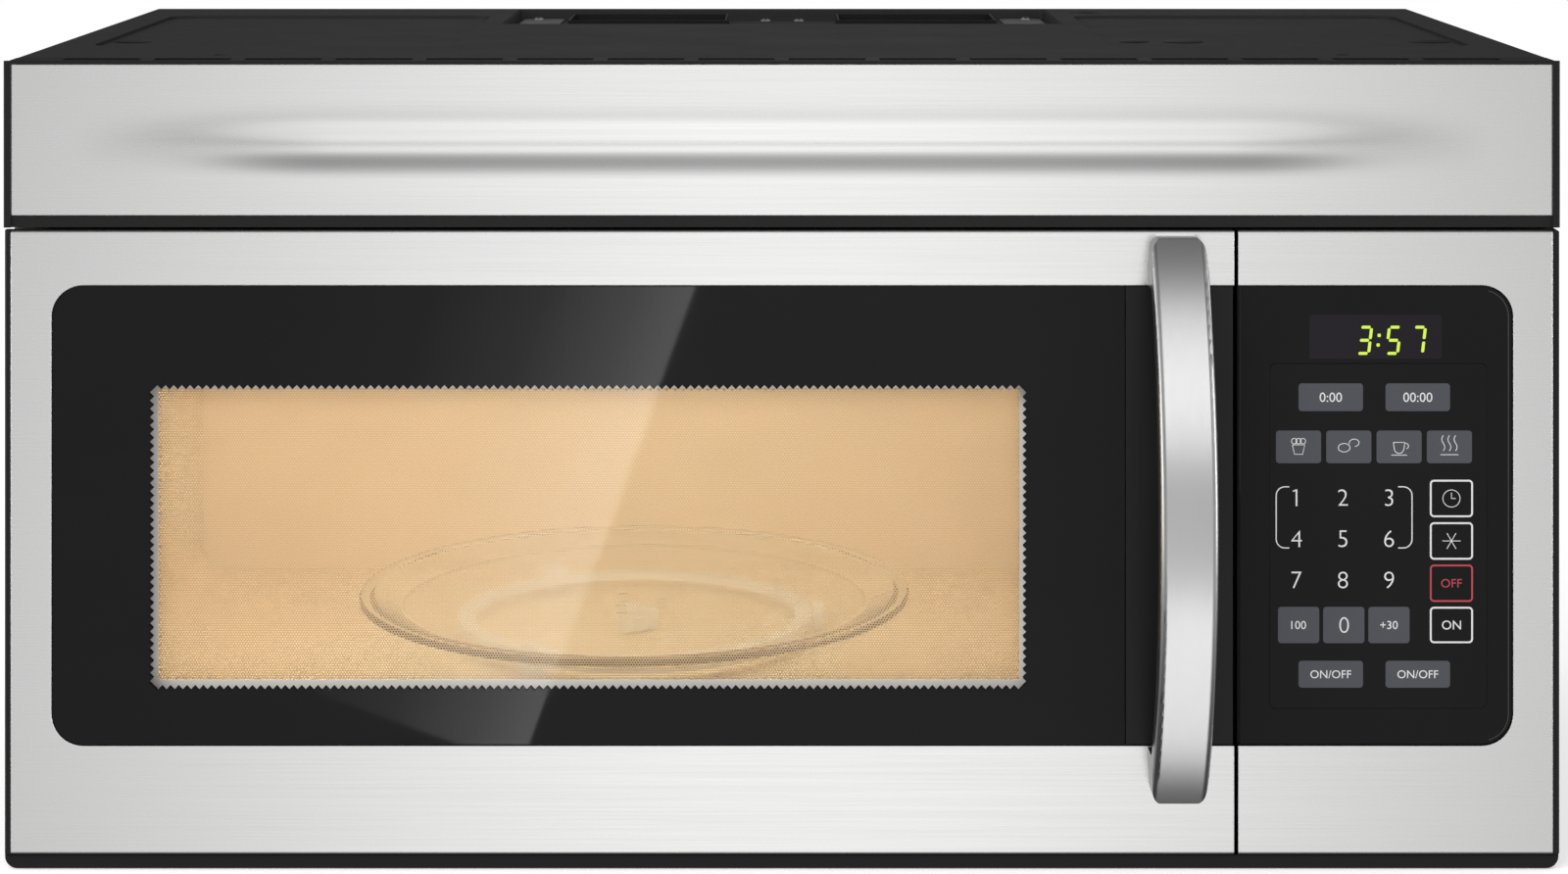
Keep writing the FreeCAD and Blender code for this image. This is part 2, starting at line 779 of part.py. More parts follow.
# ---- door
def door_frame():
    """Black moulded door body: rounded at the hinge side, with pockets for glass, steel panel and latch."""
    y0 = front + sheet + skin_seat
    body = prism("xy", [(door_x0, y0, 1.5), (door_x1, y0, 0.8), (door_x1, door_back, 0.8),
                        (door_x0, door_back, door_back_round)], door_z0, door_z1)
    glass_room = prism("xz", door_glass_outline(gap, door_x1 + 1), y0 - 2, glass_y1 + gap)
    opening = prism("xz", rect(hat_x0 - 4, hat_x1 + 4, hat_z0 - 4, hat_z1 + 4, hat_corner + 4), y0 - 1,
                    door_back + 1)
    seal_room = prism("xz", rect(seal_x0 - gap, seal_x1 + gap, seal_z0 - gap, seal_z1 + gap,
                                 seal_corner + gap),
                      door_back - choke_fold - gap, door_back + 1)
    x0, x1 = latch_x()
    bar_y0 = front + latch_bar_front
    latch_room = box(x0 - gap, x1 + gap, bar_y0 - gap, bar_y0 + latch_bar_depth + gap, latch_foot - gap,
                     latch_foot + latch_bar_length + spring_length + gap)
    hook_rooms = [box(x0 - gap, x1 + gap, bar_y0, door_back + 1, z - latch_nose - gap,
                      z + latch_hook_height + latch_travel + gap) for z in latch_hook_feet()]
    notches = []
    bores = []
    for z, way in ((door_z0, 1), (door_z1, -1)):
        level = sorted((z - way, z + way * hinge_notch))
        notches.append(box(door_x0 - 1, hinge_x + hinge_leaf_r + 1.2, front + hinge_notch_front,
                           door_back + 1, *level))
        depth = sorted((z, z + way * (hinge_leaf_drop + hinge_leaf + hinge_pin_length + 1)))
        bores.append(rod("z", hinge_pin_r + run_fit, hinge_x, hinge_y, *depth))
    screws = [rod("y", screw_r + run_fit, handle_x(), z, y0 - 1, screw_seat_y() + 1)
              for z in handle_screw_z()]
    skin_steps = [box(door_x0 + skin_side_reveal - gap, door_x1 + 1, y0 - 1, front + skin_return + gap,
                      *level)
                  for level in ((door_z0 - 1, door_z0 + sheet + gap), (door_z1 - sheet - gap, door_z1 + 1))]
    return cut(body, glass_room, opening, seal_room, latch_room, *hook_rooms, *notches, *bores, *screws,
               *skin_steps)


def door_glass_outline(grow, right):
    """The glass in front view: rounded at its left corners, square at the right."""
    return [(glass_x0 - grow, glass_z0 - grow, glass_corner + grow), (right, glass_z0 - grow, 0),
            (right, glass_z1 + grow, 0), (glass_x0 - grow, glass_z1 + grow, glass_corner + grow)]


def door_outer_skin():
    """Stainless door skin: flat face, rounded bends at top and bottom, open to the right round the glass."""
    x0 = door_x0 + skin_side_reveal
    y1 = front + skin_return
    outer = [(front, door_z0, skin_bend), (y1, door_z0, 0), (y1, door_z1, 0), (front, door_z1, skin_bend)]
    inner = [(front + sheet, door_z0 + sheet, skin_bend - sheet), (y1 + 1, door_z0 + sheet, 0),
             (y1 + 1, door_z1 - sheet, 0), (front + sheet, door_z1 - sheet, skin_bend - sheet)]
    skin = cut(prism("yz", outer, x0, door_x1), prism("yz", inner, x0 - 1, door_x1 + 1))
    window = prism("xz", door_glass_outline(gap, door_x1 + 1), front - 1, front + 2)
    notches = [box(door_x0, hinge_x + hinge_leaf_r + 1.2, front + hinge_notch_front, y1 + 1, *level)
               for level in ((door_z0 - 1, door_z0 + 1), (door_z1 - 1, door_z1 + 1))]
    screws = [rod("y", screw_r + run_fit, handle_x(), z, front - 1, front + 2) for z in handle_screw_z()]
    return cut(skin, window, *notches, *screws)


def door_glass():
    """Tempered outer glass with a fine ground edge."""
    glass = prism("xz", door_glass_outline(0, glass_x1), glass_y0, glass_y1)
    face_edges = [edge for edge in glass.Edges if edge.BoundBox.YMax < glass_y0 + 0.01]
    return glass.makeChamfer(0.5, face_edges)


def door_handle_trim():
    """Black strip between the glass and the door's free edge, behind the handle."""
    strip = box(glass_x1 + gap, door_x1 - 0.6, glass_y0, glass_y1, glass_z0, glass_z1)
    face_edges = [edge for edge in strip.Edges if edge.BoundBox.YMax < glass_y0 + 0.01]
    return strip.makeChamfer(0.4, face_edges)


def door_inner_panel():
    """Pressed steel panel: a hat round the window, a flat sealing ring and the folded choke wall."""
    hat_y = door_back - hat_depth
    ring_out = rect(seal_x0, seal_x1, seal_z0, seal_z1, seal_corner)
    ring_in = rect(seal_x0 + sheet, seal_x1 - sheet, seal_z0 + sheet, seal_z1 - sheet, seal_corner - sheet)
    hat_out = rect(hat_x0 - sheet, hat_x1 + sheet, hat_z0 - sheet, hat_z1 + sheet, hat_corner + sheet)
    hat_in = rect(hat_x0, hat_x1, hat_z0, hat_z1, hat_corner)
    skirt = cut(prism("xz", ring_out, door_back - choke_fold, door_back),
                prism("xz", ring_in, door_back - choke_fold - 1, door_back - sheet))
    hat = prism("xz", hat_out, hat_y - sheet, door_back)
    hollow = prism("xz", hat_in, hat_y, door_back + 1)
    window = prism("xz", window_outline(window_clear), hat_y - 2, hat_y + 1)
    return cut(join(skirt, hat), hollow, window)


def window_outline(grow):
    """The window that the user sees in the glass, made larger by grow."""
    return rect(window_x0 - grow, window_x1 + grow, window_z0 - grow, window_z1 + grow, 3)


def door_screen():
    """Perforated steel sheet welded behind the opening of the inner panel, with a hem all round."""
    y0 = door_back - hat_depth
    return prism("xz", window_outline(window_clear + screen_hem), y0, y0 + screen_thick)


def door_inner_window():
    """Clear inner pane that keeps the perforated sheet clean."""
    y1 = door_back - sheet
    pane = rect(hat_x0 + gap, hat_x1 - gap, hat_z0 + gap, hat_z1 - gap, hat_corner - gap)
    return prism("xz", pane, y1 - pane_thick, y1)


def choke_cover():
    """Moulded ring over the choke slot, with a thin lip that holds the inner pane."""
    outer = rect(seal_x0 + 1, seal_x1 - 1, seal_z0 + 1, seal_z1 - 1, seal_corner - 1)
    inner = rect(hat_x0 + 3, hat_x1 - 3, hat_z0 + 3, hat_z1 - 3, hat_corner - 3)
    ring = prism("xz", outer, door_back, door_back + 1)
    ring = cut(ring, prism("xz", inner, door_back - 1, door_back + 2))
    edges = [edge for edge in ring.Edges if edge.BoundBox.YMin > door_back + 0.99]
    return ring.makeChamfer(0.4, edges)


# ---- handle
def handle_x():
    return door_x1 - handle_centre


def handle_ends():
    return door_z0 + handle_foot, door_z1 - handle_head


def screw_seat_y():
    """Where the screw heads bear on the door body, inside the choke of the steel panel."""
    return door_back - choke_fold - gap


def handle_screw_z():
    z0, z1 = handle_ends()
    return z0 + handle_foot_length / 2, z1 - handle_foot_length / 2


def arc_through(y_ends, z0, z1, y_mid, x):
    """An arc bowed towards the user, from height z0 to z1."""
    return Part.Arc(Vector(x, y_ends, z0), Vector(x, y_mid, (z0 + z1) / 2), Vector(x, y_ends, z1)).toShape()


def door_handle():
    """Bowed bar: an arched front, a lighter arch behind it, two solid feet and rounded long edges."""
    z0, z1 = handle_ends()
    x0 = handle_x() - handle_width / 2
    tip = front - handle_end_depth
    crown = front - handle_proud
    half = (z1 - z0) / 2
    sagitta = handle_proud - handle_end_depth
    bow_r = (half ** 2 + sagitta ** 2) / (2 * sagitta)
    centre_y = crown + bow_r
    inner_r = bow_r - handle_thick
    foot_z0 = z0 + handle_foot_length
    foot_z1 = z1 - handle_foot_length
    inner_y = centre_y - math.sqrt(inner_r ** 2 - ((foot_z1 - foot_z0) / 2) ** 2)
    edges = [arc_through(tip, z0, z1, crown, x0)]
    edges.append(Part.makeLine(Vector(x0, tip, z1), Vector(x0, front, z1)))
    edges.append(Part.makeLine(Vector(x0, front, z1), Vector(x0, front, foot_z1)))
    edges.append(Part.makeLine(Vector(x0, front, foot_z1), Vector(x0, inner_y, foot_z1)))
    edges.append(arc_through(inner_y, foot_z0, foot_z1, crown + handle_thick, x0))
    edges.append(Part.makeLine(Vector(x0, inner_y, foot_z0), Vector(x0, front, foot_z0)))
    edges.append(Part.makeLine(Vector(x0, front, foot_z0), Vector(x0, front, z0)))
    edges.append(Part.makeLine(Vector(x0, front, z0), Vector(x0, tip, z0)))
    bar = Part.Face(Part.Wire(Part.__sortEdges__(edges))).extrude(Vector(handle_width, 0, 0))
    heels = [edge for edge in bar.Edges if is_heel(edge, foot_z0, foot_z1, inner_y)]
    bar = bar.makeFillet(7.0, heels)
    bar = bar.common(handle_plan(z0, z1))
    long_edges = [edge for edge in bar.Edges
                  if edge.Length > (z1 - z0) * 0.8 and edge.BoundBox.YMin < crown + 1]
    bar = bar.makeFillet(handle_edge, long_edges)
    screws = [rod("y", screw_r - screw_bite + run_fit, handle_x(), z, front - screw_reach - 1, front + 1)
              for z in handle_screw_z()]
    return cut(bar, *screws)


def is_heel(edge, foot_z0, foot_z1, inner_y):
    """True for the two edges where the feet turn into the arch."""
    extent = edge.BoundBox
    straight = extent.XLength > handle_width / 2 and extent.YLength < 0.01 and extent.ZLength < 0.01
    at_foot = min(abs(extent.ZMin - foot_z0), abs(extent.ZMin - foot_z1)) < 0.01
    return straight and at_foot and abs(extent.YMin - inner_y) < 0.01


def handle_plan(z0, z1):
    """The bar in front view: its end corners are long quarter ellipses."""
    half = handle_width / 2
    x = handle_x()
    y = front - handle_proud - 5
    edges = []
    for way_z, z in ((-1, z0), (1, z1)):
        for way_x in (-1, 1):
            centre = Vector(x + way_x * (half - handle_corner_x), y, z - way_z * handle_corner_z)
            points = []
            for turn in (0, 30, 60, 90):
                angle = math.radians(turn)
                points.append(centre + Vector(way_x * handle_corner_x * math.cos(angle), 0,
                                              way_z * handle_corner_z * math.sin(angle)))
            curve = Part.BSplineCurve()
            curve.interpolate(points)
            edges.append(curve.toShape())
    for z in (z0, z1):
        edges.append(Part.makeLine(Vector(x - half + handle_corner_x, y, z),
                                   Vector(x + half - handle_corner_x, y, z)))
    for way_x in (-1, 1):
        edges.append(Part.makeLine(Vector(x + way_x * half, y, z0 + handle_corner_z),
                                   Vector(x + way_x * half, y, z1 - handle_corner_z)))
    wire = Part.Wire(Part.__sortEdges__(edges))
    return Part.Face(wire).extrude(Vector(0, handle_proud + 10, 0))


def handle_screws():
    """Two screws from inside the door into the feet of the handle."""
    screws = []
    for z in handle_screw_z():
        head = rod("y", screw_head_r, handle_x(), z, screw_seat_y(), screw_seat_y() + screw_head)
        shank = rod("y", screw_r - screw_bite, handle_x(), z, front - screw_reach, screw_seat_y() + 1)
        screws.append(join(head, shank))
    return Part.makeCompound(screws)


# ---- latch
def latch_hooks():
    """One bar with two hooks that reach through the front plate; ramped noses lift it over the catches."""
    x0, x1 = latch_x()
    y0 = front + latch_bar_front
    y1 = y0 + latch_bar_depth
    bar = prism("xy", rect(x0, x1, y0, y1, 0.8), latch_foot, latch_foot + latch_bar_length)
    tip = plate_back + latch_hook_reach
    hooks = []
    for z in latch_hook_feet():
        top = z + latch_hook_height
        outline = [(y1 - 1, z, 0), (tip - 9, z, 1), (tip - 9, z - latch_nose, 0.6),
                   (tip - 5, z - latch_nose, 1.5),
                   (tip, z + latch_hook_height * 0.45, 1), (tip - 5, top, 2), (y1 - 1, top, 0)]
        hooks.append(prism("yz", outline, x0, x1))
    return join(bar, *hooks)


def latch_spring():
    """Coil spring that pushes the latch bar down."""
    x0, x1 = latch_x()
    centre = Vector((x0 + x1) / 2, front + latch_bar_front + latch_bar_depth / 2,
                    latch_foot + latch_bar_length + 0.4)
    height = spring_length - 0.8
    radius = spring_r - spring_wire
    helix = Part.makeHelix(height / spring_turns, height, radius)
    profile = Part.Wire(Part.makeCircle(spring_wire, Vector(radius, 0, 0), Vector(0, 1, 0)))
    coil = Part.Wire(helix).makePipeShell([profile], True, True)
    coil.translate(centre)
    return coil


def latch_board():
    """Moulded bracket behind the front plate, with a catch ledge under each hook."""
    x0, x1 = latch_x()
    y0 = plate_back
    left = x0 - 1 - latch_board_thick
    right = x1 + 1 + latch_slot_side + latch_board_thick
    z0 = latch_foot - 14
    z1 = latch_foot + latch_bar_length + 14
    depth = y0 + latch_hook_reach + 3
    web = box(left, left + latch_board_thick, y0, depth, z0, z1)
    far_web = box(right - latch_board_thick, right, y0, depth, z0, z1)
    parts = [far_web]
    for z in latch_hook_feet():
        ledge_top = z - latch_nose - gap
        parts.append(box(left, right, y0, depth, ledge_top - 5, ledge_top))
        roof = z + latch_hook_height + latch_travel + 1
        parts.append(box(left, right, y0, depth, roof, roof + 4))
    board = join(web, *parts)
    return board


def interlock_switches():
    """Three snap switches on the latch board, each with its small lever."""
    x0 = latch_x()[0] - 1 - latch_board_thick
    y1 = plate_back + latch_hook_reach + 3
    low, high = latch_hook_feet()
    switches = []
    for z in (low - 4, low + 24, high - 4):
        body = prism("yz", rect(y1 - switch_depth, y1, z, z + switch_height, 1), x0 - switch_width, x0)
        lever = box(x0 - switch_width / 2 - 2, x0 - switch_width / 2 + 2, y1, y1 + 0.6, z + 3,
                    z + switch_height - 1)
        switches.append(join(body, lever))
    return Part.makeCompound(switches)


# ---- hinges
def hinge_bracket(foot, way):
    """Steel hinge: a plate on the front frame, a leaf under or over the door and the pin."""
    leaf_z = sorted((foot + way * hinge_leaf_drop, foot + way * (hinge_leaf_drop + hinge_leaf)))
    disc = rod("z", hinge_leaf_r, hinge_x, hinge_y, *leaf_z)
    neck = box(hinge_x - hinge_leaf_r, hinge_x + hinge_leaf_r, hinge_y, plate_front, *leaf_z)
    plate_z = sorted((foot + way * hinge_leaf_drop, foot + way * hinge_plate_height))
    plate_x = (hinge_x - hinge_leaf_r, hinge_x + hinge_leaf_r)
    plate = prism("xz", rect(*plate_x, *plate_z, 2), plate_front - 1.6, plate_front)
    pin_tip = foot + way * (hinge_leaf_drop + hinge_leaf + hinge_pin_length)
    pin_z = sorted((foot + way * hinge_leaf_drop, pin_tip))
    pin = rod("z", hinge_pin_r, hinge_x, hinge_y, *pin_z)
    return join(disc, neck, plate, pin)


# ---- control panel
def control_frame():
    """Black moulded box that carries the stainless bezel, the glass and the boards."""
    y0 = front + sheet + skin_seat
    y1 = front + control_thickness
    z0, z1 = door_z0, door_z1
    body = prism("xz", rect(control_x0, control_x1, z0, z1, 1.0), y0, y1)
    hollow = prism("xz", rect(control_x0 + 3, control_x1 - 3, z0 + 3, z1 - 3, 2), glass_y1 + 2.5, y1 + 1)
    glass_room = prism("xz", control_glass_outline(gap, control_x0 - 1), y0 - 1, glass_y1)
    display = prism("xz", display_outline(-1), y0, glass_y1 + 4)
    posts = []
    for x in (control_x0 + board_left + 2 * post_r, control_x0 + board_left + board_width - 5 * post_r):
        for z in (board_z0() + 2 * post_r, board_z0() + board_height - 2 * post_r):
            posts.append(rod("y", post_r, x, z, glass_y1 + 2, board_y() - 0.01))
    skin_steps = [box(control_x0 - 1, control_x1 - skin_side_reveal + gap, y0 - 1,
                      front + skin_return + gap, *level)
                  for level in ((z0 - 1, z0 + sheet + gap), (z1 - sheet - gap, z1 + 1))]
    reach = box(control_x0 + 3, control_x0 + 13, y1 - 3, plate_front, door_z0 + 40, door_z1 - 40)
    return join(cut(body, hollow, glass_room, display, *skin_steps), reach, *posts)


def control_glass_outline(grow, left):
    x1 = control_x1 - glass_left + 0.6
    return [(left, glass_z0 - grow, 0), (x1 + grow, glass_z0 - grow, glass_corner + grow),
            (x1 + grow, glass_z1 + grow, glass_corner + grow), (left, glass_z1 + grow, 0)]


def display_outline(grow):
    x0 = control_x0 + display_left
    z1 = door_z1 - display_drop
    return rect(x0 - grow, x0 + display_width + grow, z1 - display_height - grow, z1 + grow, 1)


def board_y():
    return glass_y1 + board_back


def board_z0():
    return (door_z0 + door_z1) / 2 - board_height / 2


def control_bezel():
    """Stainless face of the control side, bent at top and bottom like the door skin, open to the left."""
    x1 = control_x1 - skin_side_reveal
    y1 = front + skin_return
    outer = [(front, door_z0, skin_bend), (y1, door_z0, 0), (y1, door_z1, 0), (front, door_z1, skin_bend)]
    inner = [(front + sheet, door_z0 + sheet, skin_bend - sheet), (y1 + 1, door_z0 + sheet, 0),
             (y1 + 1, door_z1 - sheet, 0), (front + sheet, door_z1 - sheet, skin_bend - sheet)]
    skin = cut(prism("yz", outer, control_x0, x1), prism("yz", inner, control_x0 - 1, x1 + 1))
    return cut(skin, prism("xz", control_glass_outline(gap, control_x0 - 1), front - 1, front + 2))


def control_glass():
    """Black control window, level with the door glass, with pockets for the keypad and the display."""
    glass = prism("xz", control_glass_outline(0, control_x0 + 0.6), glass_y0, glass_y1)
    face_edges = [edge for edge in glass.Edges if edge.BoundBox.YMax < glass_y0 + 0.01]
    glass = glass.makeChamfer(0.5, face_edges)
    return cut(glass, prism("xz", keypad_outline(gap / 2), glass_y0 - 1, glass_y0 + key_sheet),
               prism("xz", display_outline(0), glass_y1 - 1.6, glass_y1 + 1))


def keypad_outline(grow):
    x0 = control_x0 + key_left - keypad_side
    x1 = control_x1 - glass_left - keypad_right
    return rect(x0 - grow, x1 + grow, glass_z0 + keypad_tail - grow, glass_z1 - keypad_head + grow, 3)


def key_rows():
    """Foot and height of the seven key rows, from the top down. They share out the room under the display."""
    room = glass_z1 - glass_z0 - key_head_room - key_tail_room
    stretch = (room - sum(key_row_gaps)) / sum(key_row_heights)
    rows = []
    z = glass_z1 - key_head_room
    for height, below in zip(key_row_heights, key_row_gaps + (0,)):
        z -= height * stretch
        rows.append((z, height * stretch))
        z -= below
    return rows


def key_pads():
    """Every key as (left, foot, width, height), from the top row down."""
    rows = key_rows()
    pads = []
    for foot, height in (rows[0], rows[6]):
        for column in range(2):
            pads.append((key_wide_left + column * key_wide_step, foot, key_wide, height))
    for column in range(4):
        pads.append((key_left + column * key_icon_step, rows[1][0], key_icon, rows[1][1]))
    for foot, height in rows[2:6]:
        pads.append((key_square_left, foot, key_square, height))
    for column in range(3):
        pads.append((key_grey_left + column * key_grey_step, rows[5][0], key_grey, rows[5][1]))
    return [(control_x0 + left, foot, width, height) for left, foot, width, height in pads]


def keypad_membrane():
    """Flat touch membrane with its keys raised by a hair."""
    y0 = glass_y0
    membrane = prism("xz", keypad_outline(0), y0, y0 + key_sheet)
    pads = [prism("xz", rect(left, left + width, foot, foot + height, key_corner), y0 - key_rise,
                  y0 + key_sheet)
            for left, foot, width, height in key_pads()]
    return join(membrane, *pads)


def display_module():
    """Digit module behind the display window."""
    x0 = control_x0 + display_left
    z1 = door_z1 - display_drop
    return prism("xz", rect(x0 + 2, x0 + display_width - 2, z1 - display_height + 2, z1 - 2, 1),
                 glass_y1 - 1.4, board_y())


def control_board():
    """Printed board with relays, a small transformer, a beeper and a connector."""
    x0 = control_x0 + board_left
    z0 = board_z0()
    y0 = board_y()
    board = prism("xz", rect(x0, x0 + board_width, z0, z0 + board_height, 3), y0, y0 + board_thick)
    y1 = y0 + board_thick
    relay = box(x0 + relay_width, x0 + 2 * relay_width, y1, y1 + relay_width,
                z0 + relay_foot, z0 + relay_foot + relay_height)
    relays = spread(relay, Vector(relay_pitch, 0, 0), 3)
    supply = box(x0 + supply_left, x0 + supply_left + supply_width, y1, y1 + supply_depth,
                 z0 + supply_foot, z0 + supply_foot + supply_height)
    beeper = rod("y", beeper_r, x0 + 3 * beeper_r, z0 + beeper_foot, y1, y1 + beeper_height)
    plug = box(x0 + supply_foot, x0 + supply_foot + plug_length, y1, y1 + plug_depth,
               z0 + plug_foot, z0 + plug_foot + plug_height)
    return join(board, *relays, supply, beeper, plug)


# ---- turntable
def turntable_motor():
    """Flat synchronous motor under the cavity floor, with two ears."""
    z1 = cavity_floor - sheet
    z0 = z1 - turntable_motor_height
    can = rod("z", turntable_motor_r, table_x, table_y, z0, z1)
    ears = prism("xy", rect(table_x - turntable_motor_r - 8, table_x + turntable_motor_r + 8,
                            table_y - 6, table_y + 6, 5), z1 - 1.2, z1)
    bore = rod("z", motor_shaft_r + run_fit, table_x, table_y, z1 - 11, z1 + 1)
    return cut(join(can, ears), bore)


def turntable_coupler():
    """Moulded coupler with three lobes on the motor's shaft."""
    z0 = cavity_floor + 1.5
    shaft = rod("z", motor_shaft_r, table_x, table_y, cavity_floor - sheet - 10, z0 + 1)
    hub = rod("z", coupler_r * 0.62, table_x, table_y, z0, z0 + coupler_height)
    lobe = prism("xy", rect(table_x, table_x + coupler_r, table_y - 3.5, table_y + 3.5, 3.4), z0,
                 z0 + coupler_height + 4)
    lobes = around(lobe, Vector(table_x, table_y, 0), Vector(0, 0, 1), 3)
    return join(shaft, hub, *lobes)


def tray_foot():
    """Height of the tray's underside, just over the rollers."""
    return cavity_floor + gap + 2 * roller_r + gap


def glass_tray():
    """Round glass tray, turned about its centre: flat floor, raised rim and three driving nibs under it."""
    z = tray_foot()
    profile = [(0, z, 0), (tray_r - 22, z, 6), (tray_r - 6, z + tray_rim - 2, 3),
               (tray_r, z + tray_rim - 2, 1.5),
               (tray_r, z + tray_rim + 2, 1.5), (tray_r - 8, z + tray_rim + 2, 3),
               (tray_r - 24, z + tray_glass, 5),
               (0, z + tray_glass, 0)]
    face = Part.Face(rounded_wire("xz", profile, 0))
    tray = face.revolve(Vector(0, 0, 0), Vector(0, 0, 1), 360)
    tray.translate(Vector(table_x, table_y, 0))
    nib = rod("z", 3, table_x, table_y + tray_hub_r - 8, z - 4, z + 1)
    nibs = around(nib, Vector(table_x, table_y, 0), Vector(0, 0, 1), 3)
    for piece in nibs:
        piece.rotate(Vector(table_x, table_y, 0), Vector(0, 0, 1), 30)
    return join(tray, *nibs)


def roller_ring():
    """Moulded ring with three radial axles, each ending in a cap that keeps its roller on."""
    z = cavity_floor + gap + roller_r
    outer_r = roller_track - roller_width / 2 - gap
    ring = rod("z", outer_r, table_x, table_y, z - ring_height / 2, z + ring_height / 2)
    ring = cut(ring, rod("z", outer_r - ring_width, table_x, table_y, z - ring_height, z + ring_height))
    reach = roller_track + roller_width / 2 + gap
    axle = rod("x", roller_axle_r, table_y, z, table_x + outer_r - 3, table_x + reach + 1)
    cap = rod("x", roller_axle_r + 1.4, table_y, z, table_x + reach, table_x + reach + 2)
    axles = around(join(axle, cap), Vector(table_x, table_y, 0), Vector(0, 0, 1), roller_count)
    return join(ring, *axles)


def roller(index):
    """One wheel of the roller ring, with a crowned rim."""
    z = cavity_floor + gap + roller_r
    inner = roller_track - roller_width / 2
    wheel = rod("x", roller_r, table_y, z, table_x + inner, table_x + inner + roller_width)
    wheel = wheel.makeChamfer(0.8, [edge for edge in wheel.Edges if edge.Length > roller_r * 5])
    wheel = cut(wheel, rod("x", roller_axle_r + run_fit, table_y, z, table_x, table_x + roller_track * 2))
    wheel.rotate(Vector(table_x, table_y, 0), Vector(0, 0, 1), 360.0 * index / roller_count)
    return wheel


# ---- blower
def blower_axis():
    """Y and Z of the blower's shaft, set by the outlet and by the room over the cavity."""
    y = outlet_y1 - blower_wall - scroll_end
    z = cavity_z1 + ceiling_rib_depth + sheet + scroll_floor_gap + blower_wall + scroll_radius(180)
    return y, z


def scroll_radius(turn):
    """Radius of the volute after a turn in degrees from its tongue: a logarithmic spiral."""
    growth = math.log(scroll_end / scroll_start) / 270
    return scroll_start * math.exp(growth * turn)


def scroll_face(x, grow):
    """The volute seen from the side: spiral from the tongue over the front and bottom to the outlet."""
    y, z = blower_axis()
    points = []
    for turn in range(0, 271, 45):
        radius = scroll_radius(turn) + grow
        angle = math.radians(90 + turn)
        points.append(Vector(x, y + radius * math.cos(angle), z + radius * math.sin(angle)))
    curve = Part.BSplineCurve()
    curve.interpolate(points)
    top = body_height - 1.0 + (5 if grow <= 0 else 0)
    rear = y + scroll_end + grow
    mouth = rear - blower_outlet_depth + 2 * blower_wall - 2 * grow
    edges = [curve.toShape(), Part.makeLine(points[-1], Vector(x, rear, top)),
             Part.makeLine(Vector(x, rear, top), Vector(x, mouth, top)),
             Part.makeLine(Vector(x, mouth, top), Vector(x, mouth, points[0].z + 2)),
             Part.makeLine(Vector(x, mouth, points[0].z + 2), points[0])]
    return Part.Face(Part.Wire(edges))


def blower_housings():
    """Two volute housings with round inlets; their necks stand up through the blower plate."""
    x0 = blower_outlet_inner_x
    x1 = x0 + blower_outlet_width
    y, z = blower_axis()
    outer = scroll_face(x0, blower_wall).extrude(Vector(x1 - x0, 0, 0))
    inner = scroll_face(x0 + blower_wall, 0).extrude(Vector(x1 - x0 - 2 * blower_wall, 0, 0))
    inlets = rod("x", inlet_r, y, z, x0 - 1, x1 + 1)
    house = cut(outer, inner, inlets)
    return Part.makeCompound([house, mirrored(house)])


def blade_face(x):
    """Forward curved blade between the wheel's inner and outer radius."""
    y, z = blower_axis()
    inner = wheel_r - wheel_blade
    lean = wheel_blade * 0.45
    start = Vector(x, y + inner, z)
    end = Vector(x, y + wheel_r - 0.2, z + lean)
    bulge = Vector(x, y + inner + wheel_blade * 0.62, z + lean * 0.12)
    lift = Vector(0, 0, blade_thick)
    face_arc = Part.Arc(start, bulge, end).toShape()
    back_arc = Part.Arc(start + lift, bulge + lift, end + lift).toShape()
    sides = [Part.makeLine(start, start + lift), Part.makeLine(end, end + lift)]
    return Part.Face(Part.Wire(Part.__sortEdges__([face_arc, sides[1], back_arc, sides[0]])))


def blower_wheel():
    """Squirrel-cage wheel: hub disc in the middle, end rings and forward curved blades."""
    y, z = blower_axis()
    x0 = blower_outlet_inner_x + blower_wall + wheel_side_gap
    x1 = blower_outlet_inner_x + blower_outlet_width - blower_wall - wheel_side_gap
    middle = (x0 + x1) / 2
    disc = rod("x", wheel_r, y, z, middle - wheel_disc / 2, middle + wheel_disc / 2)
    hub = rod("x", blower_shaft_r + 4, y, z, middle - 8, middle + 8)
    rings = []
    for x in (x0, x1 - wheel_disc):
        ring = rod("x", wheel_r, y, z, x, x + wheel_disc)
        rings.append(cut(ring, rod("x", wheel_r - wheel_blade, y, z, x - 1, x + wheel_disc + 1)))
    blade = blade_face(x0 + wheel_disc / 2).extrude(Vector(x1 - x0 - wheel_disc, 0, 0))
    cage = around(blade, Vector(0, y, z), Vector(1, 0, 0), blades)
    wheel = join(disc, hub, *rings, *cage)
    return cut(wheel, rod("x", blower_shaft_r, y, z, x0, x1))


def blower_shaft():
    y, z = blower_axis()
    reach = blower_outlet_inner_x + blower_outlet_width / 2 + 10
    return rod("x", blower_shaft_r, y, z, -reach, reach)


def blower_motor():
    """Motor between the two wheels: a can, two end bells and the strap that hangs it from the plate."""
    y, z = blower_axis()
    can = rod("x", blower_motor_r, y, z, -blower_motor_half + 8, blower_motor_half - 8)
    bells = [rod("x", blower_motor_r - 5, y, z, -blower_motor_half, blower_motor_half)]
    strap_top = body_height - blower_plate_drop - sheet
    strap = box(-9, 9, y - 3, y + 3, z, strap_top)
    foot = box(-9, 9, y - 16, y + 16, strap_top - 2, strap_top)
    bore = rod("x", blower_shaft_r + run_fit, y, z, -blower_motor_half - 1, blower_motor_half + 1)
    return cut(join(can, *bells, strap, foot), bore)


